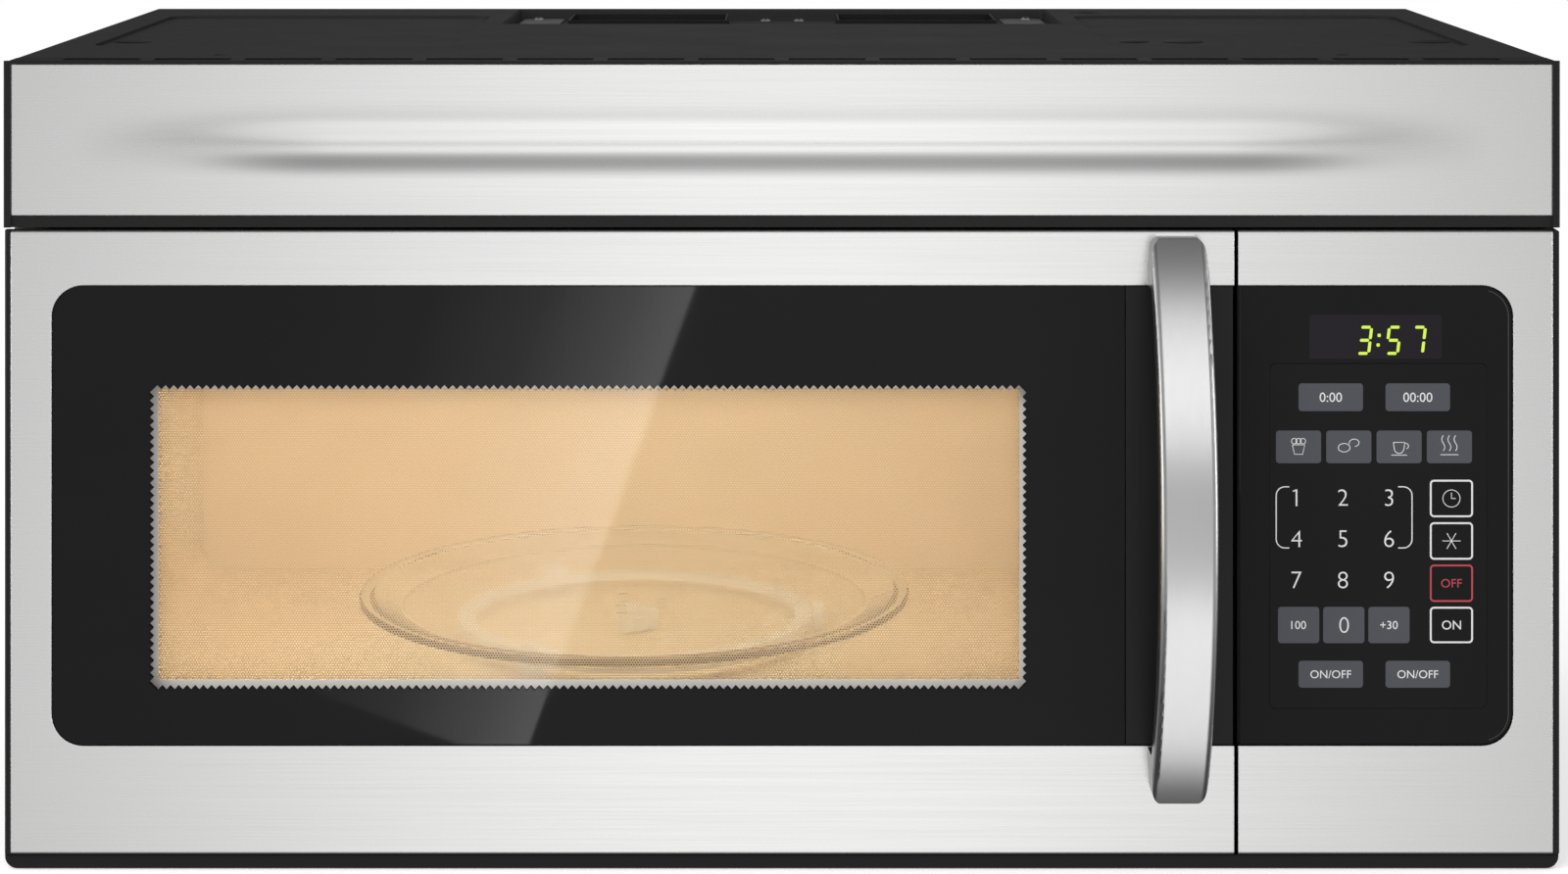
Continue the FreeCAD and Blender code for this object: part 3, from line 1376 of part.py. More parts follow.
def blower_plate():
    """Removable plate in the case top that carries the blower, with a turned rim and two outlet holes."""
    y0 = blower_plate_y0
    y1 = -blower_plate_back
    z1 = body_height - blower_plate_drop
    plate = prism("xy", rect(-blower_plate_half, blower_plate_half, y0, y1, 4), z1 - sheet, z1)
    rim = prism("xy", rect(-blower_plate_half, blower_plate_half, y0, y1, 4), z1 - sheet, body_height - gap)
    rim = cut(rim, prism("xy", rect(-blower_plate_half + sheet, blower_plate_half - sheet, y0 + sheet,
                                    y1 - sheet, 3.2),
                         z1 - 2, body_height + 1))
    holes = []
    for side in (-1, 1):
        edges = sorted((side * blower_outlet_inner_x, side * (blower_outlet_inner_x + blower_outlet_width)))
        holes.append(box(edges[0] - gap, edges[1] + gap, outlet_y0 - gap, outlet_y1 + gap, z1 - 3,
                         body_height + 1))
    return cut(join(plate, rim), *holes)


# ---- cooling fan
def fan_place():
    """X of the fan's centre and Y of its front."""
    return bay_x0 + fan_centre_x, -fan_wall_setback


def cooling_fan_shroud():
    """Square moulded shroud on the back plate with a round throat and four legs."""
    x, y = fan_place()
    half = shroud_size / 2
    body = prism("xz", rect(x - half, x + half, fan_centre_z - half, fan_centre_z + half, 6), y,
                 y + shroud_depth)
    throat = rod("y", fan_r + fan_tip_gap, x, fan_centre_z, y - 1, y + shroud_depth + 1)
    legs = [box(x + side * (half - 5) - 5, x + side * (half - 5) + 5, y + shroud_depth - 1,
                -back_flange - gap,
                fan_centre_z + level * (half - 5) - 5, fan_centre_z + level * (half - 5) + 5)
            for side in (-1, 1) for level in (-1, 1)]
    legs += [box(x + side * (half - 5) - 5, x + side * (half - 5) + 5, -back_flange - 1, -sheet,
                 fan_centre_z + level * (half - 5) - 5, fan_centre_z + level * (half - 5) + 5)
             for side in (-1, 1) for level in (-1, 1)]
    spokes = [box(x - half + 4, x + half - 4, y + shroud_depth - 3, y + shroud_depth, fan_centre_z - 4,
                  fan_centre_z + 4)]
    cup = rod("y", fan_shaft_r + 6, x, fan_centre_z, y + shroud_depth - 3, y + shroud_depth)
    bore = rod("y", fan_shaft_r + run_fit, x, fan_centre_z, y - 1, y + shroud_depth + 1)
    return cut(join(cut(body, throat), *spokes, cup, *legs), bore)


def cooling_fan_motor():
    """Shaded-pole motor behind the fan: a laminated frame and its coil."""
    x, y = fan_place()
    half = fan_motor_size / 2
    y0 = y + shroud_depth
    stack = prism("xz", rect(x - half, x + half, fan_centre_z - half, fan_centre_z + half * 0.6, 3), y0,
                  y0 + 14)
    coil = prism("xz", rect(x - 13, x + 13, fan_centre_z - half - 6, fan_centre_z - half + 8, 3), y0, y0 + 20)
    bore = rod("y", fan_shaft_r + run_fit, x, fan_centre_z, y0 - 1, y0 + 12)
    return cut(join(stack, coil), bore)


def cooling_fan_blade():
    """Axial fan: hub, shaft and five twisted blades."""
    x, y = fan_place()
    hub_y = y + 2
    hub = rod("y", fan_hub_r, x, fan_centre_z, hub_y, hub_y + fan_depth - 2)
    shaft = rod("y", fan_shaft_r, x, fan_centre_z, hub_y, y + shroud_depth + 11)
    middle = hub_y + fan_depth / 2 - 1
    sections = []
    for radius, pitch, chord in ((fan_hub_r - 2, 48, 15), (fan_r - 0.5, 30, 26)):
        angle = math.radians(pitch)
        along = Vector(math.cos(angle), math.sin(angle), 0) * (chord / 2)
        across = Vector(-math.sin(angle), math.cos(angle), 0) * (fan_blade_thick / 2)
        centre = Vector(x, middle, fan_centre_z + radius)
        corners = [centre + along + across, centre - along + across, centre - along - across,
                   centre + along - across]
        sections.append(Part.makePolygon(corners + [corners[0]]))
    blade = Part.makeLoft(sections, True, True)
    tip_ring = rod("y", fan_r, x, fan_centre_z, y - 10, y + 30)
    blade = blade.common(tip_ring)
    fan = around(blade, Vector(x, 0, fan_centre_z), Vector(0, 1, 0), fan_blades)
    return join(hub, shaft, *fan)


# ---- microwave power pieces
def waveguide_box():
    x0 = bay_x0
    y0 = front + waveguide_setback - waveguide_width / 2
    z0 = waveguide_foot
    return x0, x0 + waveguide_depth, y0, y0 + waveguide_width, z0, z0 + waveguide_height


def waveguide():
    """Rectangular steel duct on the cavity wall, with a flange all round and the hole for the antenna."""
    x0, x1, y0, y1, z0, z1 = waveguide_box()
    duct = prism("yz", rect(y0, y1, z0, z1, 4), x0, x1)
    flange = prism("yz", rect(y0 - 10, y1 + 10, z0 - 10, z1 + 10, 6), x0, x0 + sheet)
    inside = prism("yz", rect(y0 + sheet, y1 - sheet, z0 + sheet, z1 - sheet, 3), x0 - 1, x1 - sheet)
    antenna = rod("x", 11, (y0 + y1) / 2, magnetron_z(), x1 - 2, x1 + 1)
    return cut(join(duct, flange), inside, antenna)


def magnetron_z():
    return waveguide_foot + waveguide_height - magnetron_height / 2 - 2


def waveguide_cover():
    """Mica sheet over the feed opening, inside the cavity."""
    return prism("yz", feed_outline(0), cavity_x1 - gap - mica_thick, cavity_x1 - gap)


def magnetron():
    """Magnetron: antenna dome, a steel yoke open at front and back, cooling fins and the filter box."""
    x0, x1, y0, y1, z0, z1 = waveguide_box()
    y = (y0 + y1) / 2
    z = magnetron_z()
    start = x1
    end = start + magnetron_length
    half_y = magnetron_width / 2
    half_z = magnetron_height / 2
    yoke = box(start, end, y - half_y, y + half_y, z - half_z, z + half_z)
    hollow = box(start + 2, end - 2, y - half_y - 1, y + half_y + 1, z - half_z + 2, z + half_z - 2)
    anode = rod("x", 19, y, z, start + 1, end - 1)
    pitch = (magnetron_length - 20) / (magnetron_fins - 1)
    fins = [prism("yz", rect(y - half_y + 4, y + half_y - 4, z - half_z, z + half_z, 2),
                  start + 10 + index * pitch, start + 10 + index * pitch + fin_thick)
                  for index in range(magnetron_fins)]
    antenna = rod("x", 8, y, z, start - 24, start + 2)
    dome = Part.makeSphere(8, Vector(start - 24, y, z))
    box_end = box(end, end + 20, y - 26, y + 26, z - 24, z + 24)
    return join(cut(yoke, hollow), anode, *fins, antenna, dome, box_end)


def hv_transformer():
    """Laminated core with two windings, on feet that stand on the base."""
    x1 = half_width - transformer_right
    x0 = x1 - transformer_length
    y1 = -transformer_back
    y0 = y1 - transformer_depth
    z0 = sheet
    feet = box(x0 - 6, x1 + 6, y0 + 6, y1 - 6, z0, z0 + 2)
    core = box(x0, x1, y0 + 14, y1 - 14, z0 + 1, z0 + transformer_height)
    windings = []
    for level in (0.28, 0.66):
        middle = z0 + transformer_height * level
        windings.append(prism("xy", rect(x0 + 14, x1 - 14, y0, y1, coil_round), middle - 11, middle + 11))
    return join(core, feet, *windings)


def hv_capacitor():
    """Oval can with two terminals, strapped down on the base."""
    x0 = bay_x0 + 22
    y0 = plate_back + capacitor_setback
    z0 = sheet
    can = prism("xz", rect(x0, x0 + capacitor_depth, z0, z0 + capacitor_height, capacitor_depth * 0.49),
                y0, y0 + capacitor_length)
    strap = prism("xz", rect(x0 - 1, x0 + capacitor_depth + 1, z0, z0 + capacitor_height + 1,
                             capacitor_depth * 0.5),
                  y0 + 40, y0 + 54)
    foot = box(x0 - 10, x0 + capacitor_depth + 10, y0 + 40, y0 + 54, z0, z0 + 1.2)
    tabs = [box(x0 + capacitor_depth / 2 - 3, x0 + capacitor_depth / 2 + 3, y0 - 9, y0 + 1, z, z + 1)
            for z in (z0 + 18, z0 + 34)]
    return join(can, strap, foot, *tabs)


def hv_diode():
    """High-voltage diode between the capacitor and the base."""
    x0 = bay_x0 + 22 + capacitor_depth + 16
    y = plate_back + capacitor_setback + capacitor_length / 2
    body = rod("y", 4, x0 + 4, sheet + 4, y - 14, y + 14)
    tab = box(x0, x0 + 8, y + 8, y + 24, sheet, sheet + 1.2)
    return join(body, tab)


def noise_filter_board():
    """Mains filter board with its fuse and choke, on a bracket at the back plate."""
    x0 = bay_x0 + filter_board_left
    z0 = body_height - filter_board_drop
    y1 = -sheet
    y0 = y1 - filter_board_stand
    face = y0 - board_thick
    stand = [box(x0 + step, x0 + step + 8, y0, y1, z0 + 12, z0 + 22)
             for step in (6, filter_board_length - 14)]
    board = box(x0, x0 + filter_board_length, face, y0, z0, z0 + filter_board_height)
    choke = rod("y", filter_choke_r, x0 + 2 * filter_choke_r, z0 + 2 * filter_choke_r,
                face - filter_choke_height, face)
    fuse_x = x0 + filter_board_length / 2 + 2
    fuse_z = z0 + filter_board_height / 4
    fuse = rod("x", fuse_r, face - fuse_r - 0.5, fuse_z, fuse_x, fuse_x + fuse_length)
    clips = [box(x, x + 4, face - 2 * fuse_r, face, fuse_z - fuse_r, fuse_z + fuse_r)
             for x in (fuse_x + 2, fuse_x + fuse_length - 6)]
    caps = box(fuse_x + 2, fuse_x + fuse_length - 6, face - filter_choke_height + 2, face,
               z0 + filter_board_height / 2, z0 + filter_board_height - 6)
    return join(board, *stand, choke, fuse, caps, *clips)


def cavity_lamp():
    """Oven lamp in its bracket, outside the right cavity wall."""
    y = oven_lamp_y
    z = oven_lamp_z
    plate = prism("yz", rect(y - 18, y + 18, z - 16, z + 16, 4), bay_x0, bay_x0 + 1.2)
    plate = cut(plate, rod("x", 10, y, z, bay_x0 - 1, bay_x0 + 3))
    socket = rod("x", 13, y, z, bay_x0 + 1.2, bay_x0 + 30)
    socket = cut(socket, rod("x", 11.5, y, z, bay_x0 - 1, bay_x0 + 20))
    globe = Part.makeSphere(8, Vector(bay_x0 + 12, y, z))
    stem = rod("x", 5, y, z, bay_x0 + 15, bay_x0 + 24)
    return join(plate, socket, globe, stem)


# ---- cooktop lamps and filters
def lamp_box():
    edges = base_openings()[2]
    return edges[0] - 4, edges[1] + 4, edges[2] - 4, edges[3] + 4


def lamp_housing():
    """Steel reflector box over the lamp opening, open downwards."""
    x0, x1, y0, y1 = lamp_box()
    z0 = sheet
    z1 = z0 + lamp_house_height
    outer = box(x0, x1, y0, y1, z0, z1)
    inner = box(x0 + sheet, x1 - sheet, y0 + sheet, y1 - sheet, z0 - 1, z1 - sheet)
    flange = prism("xy", rect(x0 - 8, x1 + 8, y0 - 8, y1 + 8, 3), z0, z0 + sheet)
    flange = cut(flange, box(x0, x1, y0, y1, z0 - 1, z0 + 2))
    return join(cut(outer, inner), flange)


def cooktop_lamps():
    """Two lamp bulbs lying in their sockets under the roof of the housing."""
    x0, x1, y0, y1 = lamp_box()
    y = (y0 + y1) / 2
    z = lamp_house_height - bulb_drop
    wall_y = y1 - sheet
    lamps = []
    for side in (-1, 1):
        x = side * lamp_span / 2
        socket = rod("y", socket_r, x, z, wall_y - socket_length, wall_y)
        neck = rod("y", bulb_neck_r, x, z, y, wall_y - socket_length + 2)
        globe = Part.makeSphere(bulb_r, Vector(x, y - bulb_r / 2, z))
        lamps.append(join(socket, neck, globe))
    return Part.makeCompound(lamps)


def lamp_cover():
    """Clear diffuser in the lamp opening, with two hinge knuckles at its rear edge and a finger tab."""
    edges = base_openings()[2]
    x = lamp_opening_half - 1.0
    y0, y1 = edges[2] + 1.0, edges[3] - 1.0
    z0 = lamp_cover_lift
    axis_y = edges[3] - lamp_hinge_back
    z1 = z0 + lamp_cover_thick
    panel = prism("xy", rect(-x, x, y0, axis_y - 1, 3), z0, z1)
    knuckles = []
    for side in (-1, 1):
        span = sorted((side * (x - 9), side * (x - 1)))
        barrel = rod("x", lamp_hinge_r + 0.6, axis_y, lamp_hinge_z, *span)
        arm = prism("yz", rect(axis_y - 5, axis_y, z0, lamp_hinge_z, 0.4), *span)
        knuckles.append(join(barrel, arm))
    bore = rod("x", lamp_pin_r + run_fit, axis_y, lamp_hinge_z, -x - 1, x + 1)
    ribs = [box(-x + 8, x - 8, y, y + 1.2, z1 - 0.2, z1 + 1.4) for y in (y0 + 14, y0 + 30, y0 + 46)]
    tab = prism("xy", rect(-14, 14, y0, y0 + 7, 2), z1 - 0.2, z1 + 3)
    return cut(join(panel, *knuckles, *ribs, tab), bore)


def grease_filter(side):
    """Aluminium filter: rolled frame, a thinner mesh field and a pull ring."""
    x0 = filter_inner_x
    x1 = x0 + filter_width - filter_slide
    y0 = front + filter_setback
    y1 = y0 + filter_depth
    z0 = sheet + gap
    z1 = z0 + filter_thick
    frame = prism("xy", rect(x0, x1, y0, y1, 5), z0, z1)
    field = rect(x0 + filter_frame, x1 - filter_frame, y0 + filter_frame, y1 - filter_frame, 3)
    shape = cut(frame, prism("xy", field, z0 - 1, z0 + 2), prism("xy", field, z1 - 2, z1 + 1))
    middle = (y0 + y1) / 2
    bail = prism("xy", rect(x0 + 3, x0 + filter_frame + 8, middle - 14, middle + 14, 4), z0 + 0.4, z0 + 2.4)
    bail = cut(bail, prism("xy", rect(x0 + 6, x0 + filter_frame + 5, middle - 11, middle + 11, 2), z0 - 1,
                           z0 + 3))
    shape = join(shape, bail)
    return shape if side > 0 else mirrored(shape)


def cord_gland():
    """Rubber bush for the supply cord in the case top: a ring with a groove round the sheet."""
    top = body_height
    body = rod("z", gland_r + gland_flange, gland_x, -gland_wall, top - sheet - gland_height, top - sheet)
    neck = rod("z", gland_r, gland_x, -gland_wall, top - sheet - 1, top)
    bore = rod("z", gland_bore_r, gland_x, -gland_wall, top - sheet - gland_height - 1, top + 1)
    return cut(join(body, neck), bore)


def pieces():
    """Every node by name."""
    made = {
        "outer_case": outer_case(),
        "back_plate": back_plate(),
        "base_plate": base_plate(),
        "oven_cavity": oven_cavity(),
        "cavity_front_plate": cavity_front_plate(),
        "vent_grille_frame": vent_grille_frame(),
        "vent_panel": vent_panel(),
        "charcoal_filter": charcoal_filter(),
        "door_frame": door_frame(),
        "door_outer_skin": door_outer_skin(),
        "door_glass": door_glass(),
        "door_handle_trim": door_handle_trim(),
        "door_inner_panel": door_inner_panel(),
        "door_screen": door_screen(),
        "door_inner_window": door_inner_window(),
        "choke_cover": choke_cover(),
        "door_handle": door_handle(),
        "handle_screws": handle_screws(),
        "latch_hooks": latch_hooks(),
        "latch_spring": latch_spring(),
        "latch_board": latch_board(),
        "interlock_switches": interlock_switches(),
        "hinge_bracket_lower": hinge_bracket(door_z0, 1),
        "hinge_bracket_upper": hinge_bracket(door_z1, -1),
        "control_frame": control_frame(),
        "control_bezel": control_bezel(),
        "control_glass": control_glass(),
        "keypad_membrane": keypad_membrane(),
        "display_module": display_module(),
        "control_board": control_board(),
        "turntable_motor": turntable_motor(),
        "turntable_coupler": turntable_coupler(),
        "glass_tray": glass_tray(),
        "roller_ring": roller_ring(),
        "blower_plate": blower_plate(),
        "blower_housings": blower_housings(),
        "blower_motor": blower_motor(),
        "blower_shaft": blower_shaft(),
        "blower_wheel_right": blower_wheel(),
        "cooling_fan_shroud": cooling_fan_shroud(),
        "cooling_fan_motor": cooling_fan_motor(),
        "cooling_fan_blade": cooling_fan_blade(),
        "waveguide": waveguide(),
        "waveguide_cover": waveguide_cover(),
        "magnetron": magnetron(),
        "hv_transformer": hv_transformer(),
        "hv_capacitor": hv_capacitor(),
        "hv_diode": hv_diode(),
        "noise_filter_board": noise_filter_board(),
        "cavity_lamp": cavity_lamp(),
        "lamp_housing": lamp_housing(),
        "cooktop_lamps": cooktop_lamps(),
        "lamp_cover": lamp_cover(),
        "cord_gland": cord_gland(),
    }
    made["blower_wheel_left"] = mirrored(made["blower_wheel_right"])
    for index in range(roller_count):
        made["roller_%d" % (index + 1)] = roller(index)
    for name, side in (("grease_filter_left", -1), ("grease_filter_right", 1)):
        made[name] = grease_filter(side)
    return made


os.makedirs("parts", exist_ok=True)
for name, shape in pieces().items():
    shape.exportStep(os.path.join("parts", name + ".step"))
    extent = shape.BoundBox
    print("%-22s solids %2d valid %s  x %7.1f %7.1f  y %7.1f %7.1f  z %6.1f %6.1f  volume %9.0f"
          % (name, len(shape.Solids), shape.isValid(), extent.XMin, extent.XMax, extent.YMin, extent.YMax,
             extent.ZMin, extent.ZMax, shape.Volume))
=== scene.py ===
# %% [markdown]
# # An over the range microwave, dressed in Blender
#
# The steel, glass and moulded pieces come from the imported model, and they stay where they are. This
# lesson gives each of them its finish and adds what is too fine for a solid: the printed glass, the
# punched screen, the marks on the keys, the lit digits and the wire mesh of the grease filters.

# %% Load the frame
import json
import math
import bmesh
import bpy
from mathutils import Matrix, Vector

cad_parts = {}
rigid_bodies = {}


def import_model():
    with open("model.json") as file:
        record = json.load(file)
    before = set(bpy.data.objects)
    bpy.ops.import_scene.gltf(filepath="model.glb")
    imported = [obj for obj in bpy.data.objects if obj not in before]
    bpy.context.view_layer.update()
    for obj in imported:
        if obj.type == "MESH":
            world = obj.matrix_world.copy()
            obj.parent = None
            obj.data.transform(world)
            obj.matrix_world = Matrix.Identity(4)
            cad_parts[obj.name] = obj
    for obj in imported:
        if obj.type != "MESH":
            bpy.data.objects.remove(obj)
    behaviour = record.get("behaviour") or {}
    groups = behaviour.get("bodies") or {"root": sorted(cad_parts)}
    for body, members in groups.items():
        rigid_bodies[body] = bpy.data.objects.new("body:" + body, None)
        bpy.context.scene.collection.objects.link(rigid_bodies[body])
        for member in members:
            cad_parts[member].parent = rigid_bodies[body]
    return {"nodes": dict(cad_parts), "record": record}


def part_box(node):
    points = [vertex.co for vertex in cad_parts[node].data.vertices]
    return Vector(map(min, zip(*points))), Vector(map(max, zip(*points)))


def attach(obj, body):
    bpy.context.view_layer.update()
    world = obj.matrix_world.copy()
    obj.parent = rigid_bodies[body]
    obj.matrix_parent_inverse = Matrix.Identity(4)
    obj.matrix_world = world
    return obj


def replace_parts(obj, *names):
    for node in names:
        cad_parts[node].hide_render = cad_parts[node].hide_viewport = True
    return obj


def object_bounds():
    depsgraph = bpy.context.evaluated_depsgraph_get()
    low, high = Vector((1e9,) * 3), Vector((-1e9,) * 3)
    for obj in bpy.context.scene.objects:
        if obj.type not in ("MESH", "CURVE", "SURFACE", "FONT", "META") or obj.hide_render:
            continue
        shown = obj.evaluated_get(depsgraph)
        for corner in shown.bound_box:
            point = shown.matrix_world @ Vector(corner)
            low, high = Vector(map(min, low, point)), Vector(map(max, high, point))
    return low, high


for leftover in list(bpy.data.objects):
    bpy.data.objects.remove(leftover)
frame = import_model()
cad_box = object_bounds()
scene = bpy.context.scene
mm = 0.001
print("nodes", len(frame["nodes"]), "box", [tuple(round(v, 4) for v in corner) for corner in cad_box])

# %% [markdown]
# ## The camera
#
# The oven was pictured square on, from a little above its top edge. Its sides stay upright in the picture
# while its top shows, which is what a view camera does when its film stays parallel to the front and only
# the lens is raised. The same is done here by leaning the camera's line of sight and not its picture
# plane. The lean sits in the camera's stand, so that the lens itself stays centred.

# %% Camera
camera_place = Vector((0.0011, -1.9568, 0.5253))
camera_lens = 75.73
sight_fall = 0.1995
camera_data = bpy.data.cameras.new("camera")
camera_data.lens = camera_lens
camera = bpy.data.objects.new("camera", camera_data)
stand = bpy.data.objects.new("camera_stand", None)
camera.parent = stand
camera.matrix_parent_inverse = Matrix(((1, 0, 0, camera_place.x), (0, 0, -1, camera_place.y),
                                       (0, 1, sight_fall, camera_place.z), (0, 0, 0, 1)))
scene.collection.objects.link(stand)
scene.collection.objects.link(camera)
scene.camera = camera
scene.view_settings.view_transform = "Standard"
print("camera", tuple(camera_place), "lens", camera_lens)

# %% [markdown]
# ## Small helpers for node trees
#
# A material is easier to read as a list of what feeds what. `add` makes one node, sets its options, and
# takes for each input a plain value or the socket that feeds it. `maths` is the same for sums, and gives
# back the result at once. `start_group` opens a group with named sockets, and `place_group` puts one in a
# material.


# %% Node helpers
def add(tree, kind, inputs=None, **options):
    node = tree.nodes.new("ShaderNode" + kind)
    for name, value in options.items():
        setattr(node, name, value)
    for name, value in (inputs or {}).items():
        if isinstance(value, bpy.types.NodeSocket):
            tree.links.new(value, node.inputs[name])
        else:
            node.inputs[name].default_value = value
    return node


def maths(tree, operation, *values, kind="Math", result=0):
    return add(tree, kind, dict(enumerate(values)), operation=operation).outputs[result]


def place_group(tree, group, spot, values=None):
    return add(tree, "Group", {"Vector": spot, **(values or {})}, node_tree=group).outputs


def start_group(name, inputs, outputs):
    group = bpy.data.node_groups.new(name, "ShaderNodeTree")
    for label, kind, value in inputs:
        socket = group.interface.new_socket(label, in_out="INPUT", socket_type=kind)
        socket.default_value = value
    for label, kind in outputs:
        group.interface.new_socket(label, in_out="OUTPUT", socket_type=kind)
    return group, group.nodes.new("NodeGroupInput"), group.nodes.new("NodeGroupOutput")


VECTOR = "NodeSocketVector"
FLOAT = "NodeSocketFloat"
print("node helpers ready")

# %% [markdown]
# ## Studio light
#
# Steel is a mirror of the room, so the room is what gives it shape. Metal sees a band that is bright at
# eye level and falls off towards the ceiling and the ground, which draws the soft roll of the vent panel
# and the dark ends of the bowed handle. It also sees the room darken to the left and right of a bright
# middle, so the front fades a little towards both its ends. Diffuse surfaces see an even pale light, and
# the camera sees white.

# %% World
world = bpy.data.worlds.new("studio")
scene.world = world
world.use_nodes = True
sky = world.node_tree
sky.nodes.clear()
room_bands = ((-90, 0.05), (-62, 0.13), (-40, 0.26), (-30, 0.55), (-20.5, 1.0), (-7, 0.98), (1, 0.76),
              (8, 0.68), (21, 1.10), (34, 0.92), (50, 0.32), (90, 0.10))
room_sides = ((0.0, 1.36), (0.076, 1.26), (0.164, 0.80), (0.25, 0.52), (0.39, 0.48), (0.65, 0.6), (1.0, 0.8))
room_behind = ((-0.2, 1.0), (0.4, 0.16))


def band_ramp(tree, value, stops, low, high):
    """A grey ramp whose stops are given in the value's own units."""
    level = add(tree, "MapRange", {"Value": value, "From Min": low, "From Max": high})
    ramp = add(tree, "ValToRGB", {"Fac": level.outputs["Result"]})
    elements = ramp.color_ramp.elements
    while len(elements) < len(stops):
        elements.new(0.5)
    for element, (place, brightness) in zip(elements, stops):
        element.position = (place - low) / (high - low)
        element.color = (brightness, brightness, brightness, 1)
    return ramp.outputs["Color"]


direction = add(sky, "TexCoord")
axes = add(sky, "SeparateXYZ", {"Vector": direction.outputs["Generated"]})
heights = [(math.sin(math.radians(angle)), brightness) for angle, brightness in room_bands]
by_height = band_ramp(sky, axes.outputs["Z"], heights, -1.0, 1.0)
by_side = band_ramp(sky, maths(sky, "ABSOLUTE", axes.outputs["X"]), room_sides, 0.0, 1.0)
by_depth = band_ramp(sky, axes.outputs["Y"], room_behind, -1.0, 1.0)
room = maths(sky, "MULTIPLY", maths(sky, "MULTIPLY", by_height, by_side), by_depth)
rays = add(sky, "LightPath")
backdrop_light = add(sky, "Background", {"Color": (1, 1, 1, 1), "Strength": 1.0})
metal_light = add(sky, "Background", {"Color": (1, 1, 1, 1), "Strength": room})
soft_light = add(sky, "Background", {"Color": (1, 1, 1, 1), "Strength": 0.72})
for_metal = add(sky, "MixShader", {0: rays.outputs["Is Glossy Ray"], 1: soft_light.outputs[0],
                                   2: metal_light.outputs[0]})
seen = maths(sky, "MAXIMUM", rays.outputs["Is Camera Ray"], rays.outputs["Is Transmission Ray"])
whole_room = add(sky, "MixShader", {0: seen, 1: for_metal.outputs[0], 2: backdrop_light.outputs[0]})
add(sky, "OutputWorld", {"Surface": whole_room.outputs[0]})
print("room bands", len(room_bands), "room sides", len(room_sides))

# %% [markdown]
# ## Lamps
#
# A wide soft lamp from the upper left lights the paint and the plastic, and one on each side lights the
# case. A small lamp under the oven's roof, just behind the door, lights its back wall. The bowed handle
# has two soft strips of its own, one above and one below, which give it its two bright fields. They are
# linked to the handle alone, as a photographer would flag them off from the flat steel.


# %% Lamps
def softbox(name, place, target, width, height, power, colour=(1, 1, 1)):
    data = bpy.data.lights.new(name, "AREA")
    data.shape = "RECTANGLE"
    data.size = width
    data.size_y = height
    data.energy = power
    data.color = colour
    lamp = bpy.data.objects.new(name, data)
    lamp.location = place
    lamp.rotation_euler = (Vector(target) - Vector(place)).to_track_quat("-Z", "Y").to_euler()
    lamp.visible_camera = False
    scene.collection.objects.link(lamp)
    return lamp


def light_only(lamp, *pieces):
    """Links a lamp to a few pieces, which alone are lit by it and alone can block it."""
    group = bpy.data.collections.new(lamp.name + "_pieces")
    for piece in pieces:
        group.objects.link(piece)
    lamp.light_linking.receiver_collection = group
    lamp.light_linking.blocker_collection = group


key = softbox("key_light", (-1.6, -2.6, 2.6), (0, -0.2, 0.15), 2.2, 1.6, 46)
key.visible_glossy = False
for name, x in (("side_left", -2.6), ("side_right", 2.6)):
    softbox(name, (x, -1.0, 0.35), (0.1, -0.4, 0.2), 0.7, 1.6, 14)
oven_floor, oven_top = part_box("oven_cavity")
oven_middle = (oven_floor + oven_top) / 2
oven_light = softbox("oven_light", (oven_middle.x - 0.03, oven_floor.y + 0.03, oven_top.z - 0.05),
                     (oven_middle.x - 0.04, oven_top.y, oven_middle.z), 0.44, 0.08, 1.25, (0.92, 0.85, 0.73))
oven_light.visible_glossy = False
oven_light.visible_transmission = False
handle_low, handle_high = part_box("door_handle")
handle_middle = (handle_low + handle_high) / 2
strip_far, strip_wide = 2.0, 1.2
handle_strips = (("handle_strip_upper", 30, 1.5, 6.6), ("handle_strip_lower", -52, 1.9, 11.8))
for name, elevation, tall, power in handle_strips:
    tilt = math.radians(elevation)
    place = handle_middle + strip_far * Vector((0.09, -math.cos(tilt), math.sin(tilt)))
    strip = softbox(name, place, handle_middle, strip_wide, tall, power)
    light_only(strip, frame["nodes"]["door_handle"])

# %% [markdown]
# ## The floor
#
# A wide pale sheet lies just under the oven and takes its shadow. It is one-sided, so a view from below
# looks through it, and metal doesn't mirror it, because the room bands above already hold a ground tone.

# %% Floor
floor_material = bpy.data.materials.new("pale_floor")
floor_material.use_nodes = True
floor_tree = floor_material.node_tree
floor_shader = floor_tree.nodes["Principled BSDF"]
floor_shader.inputs["Base Color"].default_value = (0.80, 0.80, 0.80, 1)
floor_shader.inputs["Roughness"].default_value = 0.9
floor_shader.inputs["Specular IOR Level"].default_value = 0.0
floor_glow = 0.42
floor_seen = add(floor_tree, "LightPath").outputs["Is Camera Ray"]
pale = add(floor_tree, "Emission", {"Color": (1, 1, 1, 1),
                                    "Strength": maths(floor_tree, "MULTIPLY", floor_seen, floor_glow)})
lifted = add(floor_tree, "AddShader", {0: floor_shader.outputs[0], 1: pale.outputs[0]})
side = add(floor_tree, "NewGeometry")
gone = add(floor_tree, "BsdfTransparent")
one_sided = add(floor_tree, "MixShader", {0: side.outputs["Backfacing"], 1: lifted.outputs[0],
                                          2: gone.outputs[0]})
floor_tree.links.new(one_sided.outputs[0], floor_tree.nodes["Material Output"].inputs["Surface"])
floor_shape = bmesh.new()
bmesh.ops.create_grid(floor_shape, x_segments=1, y_segments=1, size=6.0)
bmesh.ops.translate(floor_shape, verts=floor_shape.verts, vec=(0, 0, cad_box[0].z - 0.5 * mm))
floor_mesh = bpy.data.meshes.new("floor")
floor_shape.to_mesh(floor_mesh)
floor_shape.free()
floor_mesh.materials.append(floor_material)
floor = bpy.data.objects.new("floor", floor_mesh)
scene.collection.objects.link(floor)
